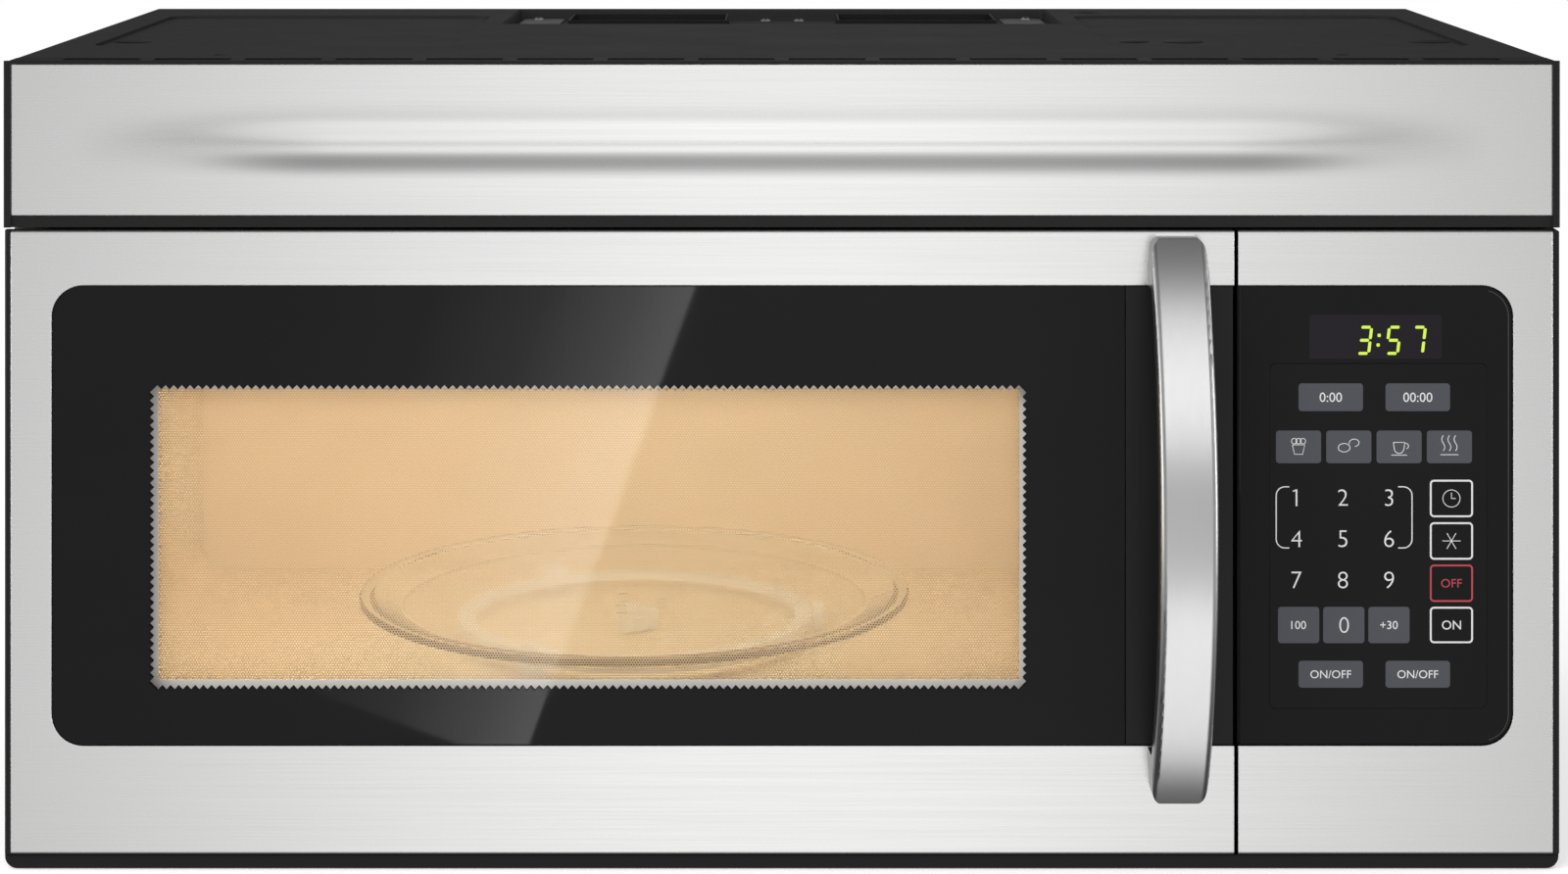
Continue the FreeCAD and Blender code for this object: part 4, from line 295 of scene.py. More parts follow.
floor.visible_glossy = False
floor.visible_diffuse = False
floor.visible_transmission = False
print("floor at", round(floor_mesh.vertices[0].co.z, 5))

# %% [markdown]
# ## Surface effects as node groups
#
# Brushing, moulded grain, zinc spangle, faint handling marks and the punched pattern of a screen each
# come back on several pieces. Each is one group that reads object coordinates in metres and puts out
# plain values.


# %% Groups
coarse_share = 0.3
hole_rows = math.sqrt(3)


def brushed_grain_group():
    """Long fine streaks. Scale gives streaks per metre in x, y and z, so a small number is a long streak."""
    group, inlet, outlet = start_group(
        "brushed_grain", [("Vector", VECTOR, (0, 0, 0)), ("Scale", VECTOR, (12, 1500, 1500))],
        [("Streaks", FLOAT)])
    stretched = maths(group, "MULTIPLY", inlet.outputs["Vector"], inlet.outputs["Scale"], kind="VectorMath")
    fine = add(group, "TexNoise", {"Vector": stretched, "Scale": 1.0, "Detail": 4.0, "Roughness": 0.65})
    coarse = add(group, "TexNoise", {"Vector": stretched, "Scale": 0.22, "Detail": 2.0})
    both = maths(group, "MULTIPLY_ADD", coarse.outputs["Fac"], coarse_share, fine.outputs["Fac"])
    group.links.new(maths(group, "MULTIPLY", both, 1 / (1 + coarse_share)), outlet.inputs["Streaks"])
    return group


def moulded_grain_group():
    """The small cells that a mould or a coat of paint leaves on a surface."""
    group, inlet, outlet = start_group(
        "moulded_grain", [("Vector", VECTOR, (0, 0, 0)), ("Cells per metre", FLOAT, 900.0)],
        [("Height", FLOAT), ("Tone", FLOAT)])
    cells = add(group, "TexVoronoi", {"Vector": inlet.outputs["Vector"],
                                      "Scale": inlet.outputs["Cells per metre"]}, feature="SMOOTH_F1")
    tone = add(group, "TexNoise", {"Vector": inlet.outputs["Vector"], "Scale": 18.0, "Detail": 3.0})
    group.links.new(cells.outputs["Distance"], outlet.inputs["Height"])
    group.links.new(tone.outputs["Fac"], outlet.inputs["Tone"])
    return group


def spangle_group():
    """Zinc crystals: flat patches a few millimetres wide, each a little lighter or darker."""
    group, inlet, outlet = start_group(
        "zinc_spangle", [("Vector", VECTOR, (0, 0, 0)), ("Patches per metre", FLOAT, 140.0)],
        [("Tone", FLOAT)])
    patches = add(group, "TexVoronoi", {"Vector": inlet.outputs["Vector"],
                                        "Scale": inlet.outputs["Patches per metre"]})
    tone = add(group, "SeparateColor", {"Color": patches.outputs["Color"]})
    group.links.new(tone.outputs["Red"], outlet.inputs["Tone"])
    return group


def handling_group():
    """Faint wipe marks and fingerprints, as a slow change that roughness can follow."""
    group, inlet, outlet = start_group("handling_marks", [("Vector", VECTOR, (0, 0, 0))], [("Marks", FLOAT)])
    wiped = maths(group, "MULTIPLY", inlet.outputs["Vector"], (14, 14, 30), kind="VectorMath")
    marks = add(group, "TexNoise", {"Vector": wiped, "Scale": 1.0, "Detail": 5.0, "Distortion": 0.8})
    group.links.new(marks.outputs["Fac"], outlet.inputs["Marks"])
    return group


def punched_group():
    """Round holes in staggered rows on the x and z plane. Metal is 1 on the sheet and 0 in a hole."""
    group, inlet, outlet = start_group(
        "punched_rows",
        [("Vector", VECTOR, (0, 0, 0)), ("Pitch", FLOAT, 0.0013), ("Hole radius", FLOAT, 0.0004)],
        [("Metal", FLOAT)])
    tall = maths(group, "MULTIPLY", inlet.outputs["Pitch"], hole_rows)
    cell = add(group, "CombineXYZ", {"X": inlet.outputs["Pitch"], "Y": 1000.0, "Z": tall}).outputs[0]
    counted = maths(group, "DIVIDE", inlet.outputs["Vector"], cell, kind="VectorMath")
    distances = []
    for offset in (0.0, 0.5):
        spot = counted
        for operation, *values in (("ADD", (offset, 0, offset)), ("FRACTION",), ("SUBTRACT", (0.5, 0, 0.5)),
                                   ("MULTIPLY", (1, 0, 1)), ("MULTIPLY", cell)):
            spot = maths(group, operation, spot, *values, kind="VectorMath")
        distances.append(maths(group, "LENGTH", spot, kind="VectorMath", result="Value"))
    metal = maths(group, "GREATER_THAN", maths(group, "MINIMUM", *distances), inlet.outputs["Hole radius"])
    group.links.new(metal, outlet.inputs["Metal"])
    return group


brushed_grain = brushed_grain_group()
moulded_grain = moulded_grain_group()
zinc_spangle = spangle_group()
handling_marks = handling_group()
punched_rows = punched_group()
print("groups", [group.name for group in bpy.data.node_groups])

# %% [markdown]
# ## Finishes
#
# One function per kind of finish. The colour, the gloss and the relief all follow the same group, so a
# streak that is a little darker is also a little duller, as it is on real brushed steel.


# %% Finish helpers
def start_material(name, constants):
    material = bpy.data.materials.new(name)
    material.use_nodes = True
    tree = material.node_tree
    shader = tree.nodes["Principled BSDF"]
    for socket, value in constants.items():
        shader.inputs[socket].default_value = value
    spot = add(tree, "TexCoord").outputs["Object"]
    return material, tree, shader, spot


def shades(colour, low, high):
    """A darker and a lighter version of one colour."""
    return [tuple(channel * share for channel in colour) + (1,) for share in (low, high)]


def tint(tree, shader, amount, colours):
    """Base colour that runs between two colours as amount goes from 0 to 1."""
    mix = add(tree, "Mix", {"Factor": amount}, data_type="RGBA")
    *ends, mixed = [socket for socket in [*mix.inputs, *mix.outputs] if socket.type == "RGBA"]
    for end, colour in zip(ends, colours):
        end.default_value = colour
    tree.links.new(mixed, shader.inputs["Base Color"])


def gloss(tree, shader, amount, low, high):
    """Roughness that runs from low to high as amount goes from 0.3 to 0.7, where noise mostly lies."""
    spread = add(tree, "MapRange", {"Value": amount, "From Min": 0.3, "From Max": 0.7, "To Min": low,
                                    "To Max": high})
    tree.links.new(spread.outputs["Result"], shader.inputs["Roughness"])


def eased_normal(tree, edge):
    """The way a face points, with its edges eased by a small radius."""
    return add(tree, "Bevel", {"Radius": edge}, samples=4).outputs["Normal"]


def relief(tree, shader, height, depth, edge=0.0):
    """A bump of a real depth in metres, over eased edges."""
    bump = add(tree, "Bump", {"Height": height, "Distance": depth, "Strength": 1.0})
    if edge:
        tree.links.new(eased_normal(tree, edge), bump.inputs["Normal"])
    tree.links.new(bump.outputs["Normal"], shader.inputs["Normal"])


def brushed_metal(name, colour, scale, rough, depth, edge, constants=None):
    material, tree, shader, spot = start_material(name, {"Metallic": 1.0, **(constants or {})})
    streaks = place_group(tree, brushed_grain, spot, {"Scale": scale})["Streaks"]
    tint(tree, shader, streaks, shades(colour, 0.98, 1.012))
    gloss(tree, shader, streaks, rough * 1.08, rough * 0.92)
    relief(tree, shader, streaks, depth, edge)
    return material


def moulding(name, colour, cells, rough, depth, constants=None, edge=0.0004):
    material, tree, shader, spot = start_material(name, constants or {})
    grain = place_group(tree, moulded_grain, spot, {"Cells per metre": cells})
    tint(tree, shader, grain["Tone"], shades(colour, 0.85, 1.15))
    gloss(tree, shader, grain["Tone"], rough * 0.9, rough * 1.1)
    relief(tree, shader, grain["Height"], depth, edge)
    return material


def zinc(name, colour, rough):
    material, tree, shader, spot = start_material(name, {"Metallic": 0.55})
    tone = place_group(tree, zinc_spangle, spot)["Tone"]
    tint(tree, shader, tone, shades(colour, 0.82, 1.08))
    gloss(tree, shader, tone, rough * 0.8, rough * 1.2)
    relief(tree, shader, tone, 0.00001, 0.0004)
    return material


def smooth_gloss(name, colour, rough, constants=None, edge=0.0):
    """A polished or glazed surface, where only the handling marks change the gloss."""
    material, tree, shader, spot = start_material(name, constants or {})
    marks = place_group(tree, handling_marks, spot)["Marks"]
    tint(tree, shader, marks, shades(colour, 0.94, 1.06))
    gloss(tree, shader, marks, rough, rough * 1.6)
    if edge:
        tree.links.new(eased_normal(tree, edge), shader.inputs["Normal"])
    return material


def clear_glass(name, colour, rough=0.0, ior=1.45):
    """Clear glass that lets light through to what is behind it instead of casting a solid shadow."""
    material, tree, shader, spot = start_material(name, {"Transmission Weight": 1.0, "IOR": ior})
    marks = place_group(tree, handling_marks, spot)["Marks"]
    tint(tree, shader, marks, shades(colour, 0.98, 1.0))
    gloss(tree, shader, marks, rough, rough + 0.02)
    rays = add(tree, "LightPath").outputs
    open_way = add(tree, "BsdfTransparent", {"Color": colour + (1,)})
    either = maths(tree, "MAXIMUM", rays["Is Shadow Ray"], rays["Is Diffuse Ray"])
    mixed = add(tree, "MixShader", {0: either, 1: shader.outputs[0], 2: open_way.outputs[0]})
    tree.links.new(mixed.outputs[0], tree.nodes["Material Output"].inputs["Surface"])
    return material


def punched_sheet(name, colour, pitch, hole, rough=0.45):
    """Thin enamelled sheet with rows of round holes, which show as gaps through its alpha."""
    material, tree, shader, spot = start_material(name, {"Roughness": rough})
    rows = place_group(tree, punched_rows, spot, {"Pitch": pitch, "Hole radius": hole})
    tint(tree, shader, place_group(tree, handling_marks, spot)["Marks"], shades(colour, 0.97, 1.03))
    tree.links.new(rows["Metal"], shader.inputs["Alpha"])
    return material


print("finish helpers ready")

# %% [markdown]
# ## The finishes of this oven, by the slot names of its record
#
# The front is stainless steel brushed from side to side, and the bowed handle is brushed along its
# length. The case is painted black with a fine texture, and the parts that nobody sees are plain zinced
# sheet. The base plate takes a darker copy of the case paint, a painted shade for the underside and the
# bottom edge, so it is the one node that doesn't take its finish from its slot.

# %% Finishes
across = (9.0, 1400.0, 1400.0)
finish = {
    "stainless": brushed_metal("stainless", (0.88, 0.88, 0.875), across, 0.27, 0.00000028, 0.0007),
    "handle_steel": brushed_metal("handle_steel", (0.48, 0.48, 0.48), (1500.0, 900.0, 16.0), 0.31, 0.0000008,
                                  0.0),
    "zinc_steel": zinc("zinc_steel", (0.60, 0.61, 0.62), 0.36),
    "spring_steel": smooth_gloss("spring_steel", (0.72, 0.72, 0.72), 0.18, {"Metallic": 1.0}),
    "aluminium": brushed_metal("aluminium", (0.74, 0.75, 0.76), (220.0, 220.0, 220.0), 0.38, 0.00001, 0.0005),
    "case_paint": moulding("case_paint", (0.026, 0.026, 0.027), 1500.0, 0.55, 0.00004,
                           {"Specular IOR Level": 0.25}, edge=0.0008),
    "black_plastic": moulding("black_plastic", (0.008, 0.008, 0.009), 1100.0, 0.42, 0.00003,
                              {"Specular IOR Level": 0.3}),
    "white_plastic": moulding("white_plastic", (0.80, 0.80, 0.78), 900.0, 0.5, 0.00002),
    "grey_plastic": moulding("grey_plastic", (0.30, 0.30, 0.31), 900.0, 0.5, 0.00003),
    "rubber": moulding("rubber", (0.02, 0.02, 0.02), 1300.0, 0.75, 0.00004),
    "charcoal": moulding("charcoal", (0.03, 0.03, 0.03), 420.0, 0.95, 0.0004),
    "iron_core": brushed_metal("iron_core", (0.16, 0.14, 0.12), (900.0, 6.0, 900.0), 0.55, 0.00004, 0.0005),
    "circuit_board": moulding("circuit_board", (0.05, 0.20, 0.08), 260.0, 0.4, 0.00006),
    "mica": moulding("mica", (0.58, 0.50, 0.36), 300.0, 0.45, 0.00003),
    "keys": smooth_gloss("keys", (0.0130, 0.0130, 0.0133), 0.05, {"Specular IOR Level": 0.06}),
    "display": smooth_gloss("display", (0.016, 0.013, 0.018), 0.08, {"Specular IOR Level": 0.15}),
    "glass_black": smooth_gloss("glass_black", (0.0133, 0.0133, 0.0136), 0.02,
                                {"Specular IOR Level": 0.06, "IOR": 1.45}, edge=0.0008),
    "glass_clear": clear_glass("glass_clear", (0.94, 0.97, 0.96)),
    "lamp_glass": clear_glass("lamp_glass", (0.97, 0.96, 0.92), 0.25),
    "cavity_enamel": smooth_gloss("cavity_enamel", (0.78, 0.62, 0.42), 0.32),
    "screen_steel": punched_sheet("screen_steel", (0.66, 0.46, 0.26), 1.34 * mm, 0.42 * mm),
}
key_grey = smooth_gloss("key_grey", (0.086, 0.088, 0.102), 0.3, {"Specular IOR Level": 0.2})
print_white = smooth_gloss("print_white", (0.82, 0.82, 0.82), 0.4, {"Specular IOR Level": 0.2})
print_red = smooth_gloss("print_red", (0.50, 0.075, 0.095), 0.4, {"Specular IOR Level": 0.2})
rim_white = smooth_gloss("rim_white", (0.90, 0.86, 0.80), 0.5, {"Specular IOR Level": 0.2})
pane_clear = clear_glass("pane_clear", (0.97, 0.97, 0.97), ior=1.12)
# A painted highlight: the lighter line where the control glass's ground right edge catches the light.
painted_edge_highlight = smooth_gloss("painted_edge_highlight", (0.055, 0.055, 0.058), 0.3, {"Specular IOR Level": 0.2})
# A darker copy of the case paint for the base plate: painted shade for the underside and the bottom edge.
painted_shade_base_paint = moulding("painted_shade_base_paint", (0.012, 0.012, 0.012), 1500.0, 0.55, 0.00004, {"Specular IOR Level": 0.2},
                      edge=0.0008)
for row in frame["record"]["subparts"]:
    slots = frame["nodes"][row["node"]].data.materials
    for index in range(len(slots)):
        slots[index] = painted_shade_base_paint if row["node"] == "base_plate" else finish[row["material_slot"]]
print("finishes", len(finish))

# %% [markdown]
# ## Helpers for thin front pieces
#
# Most new pieces are flat things that face the user: glass, prints and plates. Each starts as one grid
# square, is stretched to size, gets round corners from a vertex bevel, and is then pulled out to its
# thickness.


# %% Shape helpers
to_front = Matrix.Rotation(math.radians(90), 4, "X")
print_thick = 0.06 * mm


def keep_piece(shape, name, body, slot_name, *materials):
    """Closes a shape's work: normals outwards, a new object at the origin, and its body. The slot name is not
    used.
    """
    bmesh.ops.recalc_face_normals(shape, faces=shape.faces)
    mesh = bpy.data.meshes.new(name)
    shape.to_mesh(mesh)
    shape.free()
    for material in materials:
        mesh.materials.append(material)
    piece = bpy.data.objects.new(name, mesh)
    scene.collection.objects.link(piece)
    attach(piece, body)
    print(name, "faces", len(mesh.polygons))
    return piece


def front_rect(shape, x0, x1, z0, z1, y, radius=0.0, segments=5):
    """A flat rectangle that faces the user, with round corners. Gives back its new faces."""
    before = set(shape.faces)
    square = bmesh.ops.create_grid(shape, x_segments=1, y_segments=1, size=0.5)["verts"]
    centre = Vector(((x0 + x1) / 2, y, (z0 + z1) / 2))
    size = Matrix.Diagonal((x1 - x0, z1 - z0, 1, 1))
    bmesh.ops.transform(shape, matrix=Matrix.Translation(centre) @ to_front @ size, verts=square)
    if radius:
        bmesh.ops.bevel(shape, geom=square, offset=radius, offset_type="OFFSET", segments=segments,
                        profile=0.5, affect="VERTICES", material=-1)
    return [face for face in shape.faces if face not in before]


def pull(shape, faces, distance):
    """Pulls faces out along y into a solid plate."""
    made = bmesh.ops.extrude_face_region(shape, geom=faces)["geom"]
    moved = [item for item in made if isinstance(item, bmesh.types.BMVert)]
    bmesh.ops.translate(shape, verts=moved, vec=(0, distance, 0))


def front_plate(shape, x0, x1, z0, z1, y_front, y_back, radius=0.0, segments=5):
    pull(shape, front_rect(shape, x0, x1, z0, z1, y_back, radius, segments), y_front - y_back)


def front_frame(shape, x0, x1, z0, z1, y_front, y_back, width, radius=0.0):
    """An outline: a rounded rectangle with its middle taken out."""
    middle = front_rect(shape, x0, x1, z0, z1, y_back, radius)
    ring = bmesh.ops.inset_region(shape, faces=middle, thickness=width, use_boundary=True,
                                  use_even_offset=True)["faces"]
    bmesh.ops.delete(shape, geom=middle, context="FACES")
    pull(shape, ring, y_front - y_back)


def take_in(shape, mesh, holder, place):
    """Adds a curve's mesh to the shape at its place, and clears the curve away."""
    mesh.transform(place)
    shape.from_mesh(mesh)
    curve = holder.data
    bpy.data.meshes.remove(mesh)
    bpy.data.objects.remove(holder)
    bpy.data.curves.remove(curve)


def painted_line(shape, points, width, y_front, thick=print_thick):
    """A drawn line: a round-section curve through the points, pressed flat on the surface."""
    curve = bpy.data.curves.new("line", "CURVE")
    curve.dimensions = "3D"
    curve.bevel_depth = width / 2
    curve.bevel_resolution = 1
    curve.use_fill_caps = True
    spline = curve.splines.new("POLY")
    spline.points.add(len(points) - 1)
    for point, (x, z) in zip(spline.points, points):
        point.co = (x, 0, z, 1)
    holder = bpy.data.objects.new("line", curve)
    mesh = bpy.data.meshes.new_from_object(holder)
    press = Matrix.Diagonal((1, thick / width, 1, 1))
    take_in(shape, mesh, holder, Matrix.Translation((0, y_front + thick / 2, 0)) @ press)


def lettering(shape, text, height, x, z, y_front, thin=0.0, thick=print_thick):
    """Plain numbers or ON and OFF, centred on x and z, as a solid print of the given height."""
    curve = bpy.data.curves.new("lettering", "FONT")
    curve.body = text
    curve.size = 1.0
    curve.offset = -thin
    curve.extrude = 0.5
    curve.resolution_u = 4
    holder = bpy.data.objects.new("lettering", curve)
    mesh = bpy.data.meshes.new_from_object(holder)
    xs = [vertex.co.x for vertex in mesh.vertices]
    ys = [vertex.co.y for vertex in mesh.vertices]
    scale = height / (max(ys) - min(ys))
    centring = Matrix.Translation((-(min(xs) + max(xs)) / 2, -(min(ys) + max(ys)) / 2, 0))
    size = Matrix.Diagonal((scale, scale, thick, 1))
    take_in(shape, mesh, holder, Matrix.Translation((x, y_front + thick / 2, z)) @ to_front @ size @ centring)


print("shape helpers ready")

# %% [markdown]
# ## The door glass
#
# The real pane is one sheet of tempered glass with a black ceramic print baked on, which leaves a clear
# window with a toothed edge. Two plates would show a seam, so this is one slab: the toothed outline
# splits its face into a black border and a clear middle, and both carry on over the same flat front.

# %% Door glass
glass_low, glass_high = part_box("door_glass")
window_low = Vector((-306.3, 0, 89.3)) * mm
window_high = Vector((117.5, 0, 234.1)) * mm
glass_corner = 15.3 * mm
tooth_pitch = 4.0 * mm
tooth_height = 2.1 * mm


def toothed_outline(shape, low, high, y):
    """The window's edge: a rectangle whose sides are cut into even teeth that point outwards."""
    face = front_rect(shape, low.x, high.x, low.z, high.z, y)[0]
    sides = list(face.edges)
    bmesh.ops.delete(shape, geom=[face], context="FACES_ONLY")
    middle = (low + high) / 2
    for edge in sides:
        start, end = (vertex.co.copy() for vertex in edge.verts)
        count = 2 * round((end - start).length / tooth_pitch)
        if abs(start.z - end.z) < mm / 1000:
            outward = Vector((0, 0, math.copysign(tooth_height, start.z - middle.z)))
        else:
            outward = Vector((math.copysign(tooth_height, start.x - middle.x), 0, 0))
        made = bmesh.ops.subdivide_edges(shape, edges=[edge], cuts=count - 1)["geom_inner"]
        inner = [item for item in made if isinstance(item, bmesh.types.BMVert)]
        inner.sort(key=lambda vertex: (vertex.co - start).length)
        bmesh.ops.translate(shape, verts=inner[::2], vec=outward)


def in_window(edge):
    margin = tooth_height + mm
    return all(window_low.x - margin < vertex.co.x < window_high.x + margin and
               window_low.z - margin < vertex.co.z < window_high.z + margin for vertex in edge.verts)


def door_glass():
    shape = bmesh.new()
    border = front_rect(shape, glass_low.x, glass_high.x, glass_low.z, glass_high.z, glass_low.y)[0]
    left = [vertex for vertex in border.verts if vertex.co.x < glass_low.x + mm]
    bmesh.ops.bevel(shape, geom=left, offset=glass_corner, offset_type="OFFSET", segments=12, profile=0.5,
                    affect="VERTICES", material=-1)
    bmesh.ops.delete(shape, geom=list(shape.faces), context="FACES_ONLY")
    toothed_outline(shape, window_low, window_high, glass_low.y)
    rim = [edge for edge in shape.edges if in_window(edge)]
    bmesh.ops.triangle_fill(shape, edges=shape.edges, use_beauty=True, use_dissolve=False, normal=(0, -1, 0))
    for face in bmesh.ops.contextual_create(shape, geom=rim)["faces"]:
        face.material_index = 1
    pull(shape, list(shape.faces), glass_high.y - glass_low.y)
    return keep_piece(shape, "door_glass_pane", "door", "glass_black", finish["glass_black"], pane_clear)


door_pane = door_glass()
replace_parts(door_pane, "door_glass")

# %% [markdown]
# ## The screen behind the glass
#
# The real screen is thin enamelled steel with thousands of punched holes, framed by a plain pale rim.
# Modelled holes would take a million faces, so the field is a flat sheet whose holes are in its alpha,
# and the rim is a solid frame. Light from the oven comes through the holes, and light from the room
# lights the metal between.

# %% Screen
screen_low, screen_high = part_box("door_screen")
screen_sheet = 0.3 * mm
rim_hem = 1.0 * mm
dot_radius = 0.55 * mm
dot_inset = 1.9 * mm


def screen_field():
    shape = bmesh.new()
    front_rect(shape, screen_low.x, screen_high.x, screen_low.z, screen_high.z, screen_low.y + screen_sheet,
               2 * mm)
    return keep_piece(shape, "door_screen_field", "door", "screen_steel", finish["screen_steel"])


def screen_rim():
    shape = bmesh.new()
    width = window_low.x + rim_hem - screen_low.x
    front_frame(shape, screen_low.x, screen_high.x, screen_low.z, screen_high.z, screen_low.y,
                screen_low.y + screen_sheet * 0.8, width)
    return keep_piece(shape, "door_screen_rim", "door", "screen_steel", rim_white)


def rim_dots():
    """A row of small pressed dots just inside the rim, at the same pitch as the teeth."""
    shape = bmesh.new()
    wide = window_high.x - window_low.x - 2 * dot_inset
    tall = window_high.z - window_low.z - 2 * dot_inset
    across_count, up_count = round(wide / tooth_pitch), round(tall / tooth_pitch)
    places = [(window_low.x + dot_inset + wide * i / across_count, z) for i in range(across_count + 1)
              for z in (window_low.z + dot_inset, window_high.z - dot_inset)]
    places += [(x, window_low.z + dot_inset + tall * i / up_count) for i in range(1, up_count)
               for x in (window_low.x + dot_inset, window_high.x - dot_inset)]
    for x, z in places:
        at = Matrix.Translation((x, screen_low.y + screen_sheet * 0.5, z))
        bmesh.ops.create_cone(shape, cap_ends=True, segments=8, radius1=dot_radius, radius2=dot_radius * 0.6,
                              depth=screen_sheet * 0.8, matrix=at @ to_front)
    return keep_piece(shape, "door_screen_dots", "door", "screen_steel", finish["zinc_steel"])


for piece in (screen_field(), screen_rim(), rim_dots()):
    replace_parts(piece, "door_screen")

# %% [markdown]
# ## Glare on the door glass
#
# In the picture a tall soft window is mirrored in the dark glass: it is bright along one slanted edge and
# fades away to the left. A lamp panel does the same here. It stands where the mirror image of that
# slanted shape falls, is linked to the glass alone, and its own nodes fade it from edge to edge.

# %% Glare
glare_plane = -1.6
mirrored_eye = Vector((camera_place.x, 2 * glass_low.y - camera_place.y, camera_place.z))


def in_mirror(x, z):
    """Where on the lamp's plane the eye looks when it looks at one point of the glass."""
    spot = Vector((x, glass_low.y, z))
    reach = (glare_plane - mirrored_eye.y) / (glass_low.y - mirrored_eye.y)
    return mirrored_eye + (spot - mirrored_eye) * reach


edge_top = in_mirror(-0.0381, 0.2950)
edge_foot = in_mirror(-0.1272, 0.0500)
slant = math.atan2(edge_top.x - edge_foot.x, edge_top.z - edge_foot.z)
glare_width = 0.30
glare_height = (edge_top - edge_foot).length
glare_middle = (edge_top + edge_foot) / 2 - Vector((math.cos(slant), 0, -math.sin(slant))) * glare_width / 2
glare = softbox("glare", glare_middle, glare_middle + Vector((0, 1, 0)), glare_width, glare_height, 7.5)
glare.rotation_euler = (Matrix.Rotation(slant, 3, "Y") @ Matrix.Rotation(math.radians(90), 3, "X")).to_euler()
light_only(glare, door_pane)
glare.visible_diffuse = False
glare.visible_transmission = False
glare.data.use_nodes = True
glare_tree = glare.data.node_tree
place_on_lamp = add(glare_tree, "NewGeometry")
corner = add(glare_tree, "SeparateXYZ", {"Vector": place_on_lamp.outputs["Parametric"]})
glare_fade = ((0.0, 0.0), (0.3, 0.025), (0.6, 0.19), (0.85, 0.6), (1.0, 1.0))
fade = band_ramp(glare_tree, corner.outputs["X"], glare_fade, 0.0, 1.0)
glare_tree.links.new(fade, glare_tree.nodes["Emission"].inputs["Strength"])
print("glare", round(glare_height, 3), "m tall, slant", round(math.degrees(slant), 1))

# %% [markdown]
# ## Keypad
#
# The keypad is a black membrane with grey printed keys, outlined keys, plain digits and small line
# pictograms. Printed marks are a few hundredths of a millimetre thick. They could be a picture on the sheet;
# here each is a thin solid on the membrane, so that it stays sharp in a close view.

# %% Keypad sheet and keys
pad_low, pad_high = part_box("keypad_membrane")
panel_x0 = 222.4
sheet_front = pad_low.y + 0.2 * mm
key_front = pad_low.y + 0.04 * mm
print_front = pad_low.y
key_corner = 1.6
row_feet = (223.5, 198.1, 171.8, 151.1, 130.5, 110.4, 88.7)
row_heights = (13.5, 15.9, 18.2, 18.2, 18.2, 17.7, 13.1)


def key_row(row, count, left, step, width):
    """Keys of one row, each as left, foot, width and height in millimetres."""
    return [(left + step * column, row_feet[row], width, row_heights[row]) for column in range(count)]


wide_keys = key_row(0, 2, 29.4, 42.4, 31.4) + key_row(6, 2, 29.4, 42.4, 31.4)
icon_keys = key_row(1, 4, 18.4, 24.5, 22.0)
grey_keys = key_row(5, 3, 19.4, 22.0, 20.1)
square_keys = [key_row(row, 1, 93.4, 0, 21.0)[0] for row in (2, 3, 4, 5)]


def key_box(key):
    """Left, right, foot and head of a key in metres."""
    left, foot, width, height = key
    return [value * mm for value in (panel_x0 + left, panel_x0 + left + width, foot, foot + height)]


def key_middle(key):
    x0, x1, z0, z1 = key_box(key)
    return (x0 + x1) / 2, (z0 + z1) / 2


def keypad_sheet():
    shape = bmesh.new()
    front_plate(shape, pad_low.x, pad_high.x, pad_low.z, pad_high.z, sheet_front, pad_high.y, 3 * mm)
    return keep_piece(shape, "keypad_sheet", "cabinet", "keys", finish["keys"])


def grey_pads():
    shape = bmesh.new()
    for key_place in wide_keys + icon_keys + grey_keys:
        front_plate(shape, *key_box(key_place), key_front, sheet_front + 0.05 * mm, key_corner * mm)
    return keep_piece(shape, "keypad_grey_keys", "cabinet", "keys", key_grey)


def outlined_pads(name, keys, material):
    shape = bmesh.new()
    for key_place in keys:
        front_frame(shape, *key_box(key_place), key_front, sheet_front + 0.02 * mm, 0.85 * mm, 2.0 * mm)
    return keep_piece(shape, name, "cabinet", "keys", material)


keypad_pieces = [keypad_sheet(), grey_pads(),
                 outlined_pads("keypad_white_outlines", square_keys[:2] + square_keys[3:], print_white),
                 outlined_pads("keypad_red_outline", square_keys[2:3], print_red)]

# %% [markdown]
# ## Digits, brackets and pictograms
#
# The digits are thin and geometric, and plain numbers, ON and OFF name the other keys. The small pictograms
# are plain signs made up for this part: a tub, a pair of rounds, a cup, three wisps of steam, a clock face
# and a frost star. They are drawn as lines through a few points.

# %% Marks on the keys
digit_height = 8.1 * mm
digit_thin = 0.016
line_width = 0.42 * mm
bracket_width = 0.65 * mm


def turns(centre_x, centre_z, radius_x, radius_z, start, end, count=14):
    """Points along part of an ellipse, from one angle to another."""
    angles = [math.radians(start + (end - start) * step / count) for step in range(count + 1)]
    return [(centre_x + radius_x * math.cos(a), centre_z + radius_z * math.sin(a)) for a in angles]


def bracket(side):
    """One of the two tall brackets round the first six digits."""
    x_far = (240.9, 307.1)[side > 0] * mm
    x_near = (247.3, 300.3)[side > 0] * mm
    top, foot, corner_radius = 186.6 * mm, 156.8 * mm, 4.2 * mm
    inward = -side * corner_radius
    upper = turns(x_far + inward, top - corner_radius, -inward, corner_radius, 90, 0, 6)
    lower = turns(x_far + inward, foot + corner_radius, -inward, corner_radius, 0, -90, 6)
    return [(x_near, top)] + upper + lower + [(x_near, foot)]


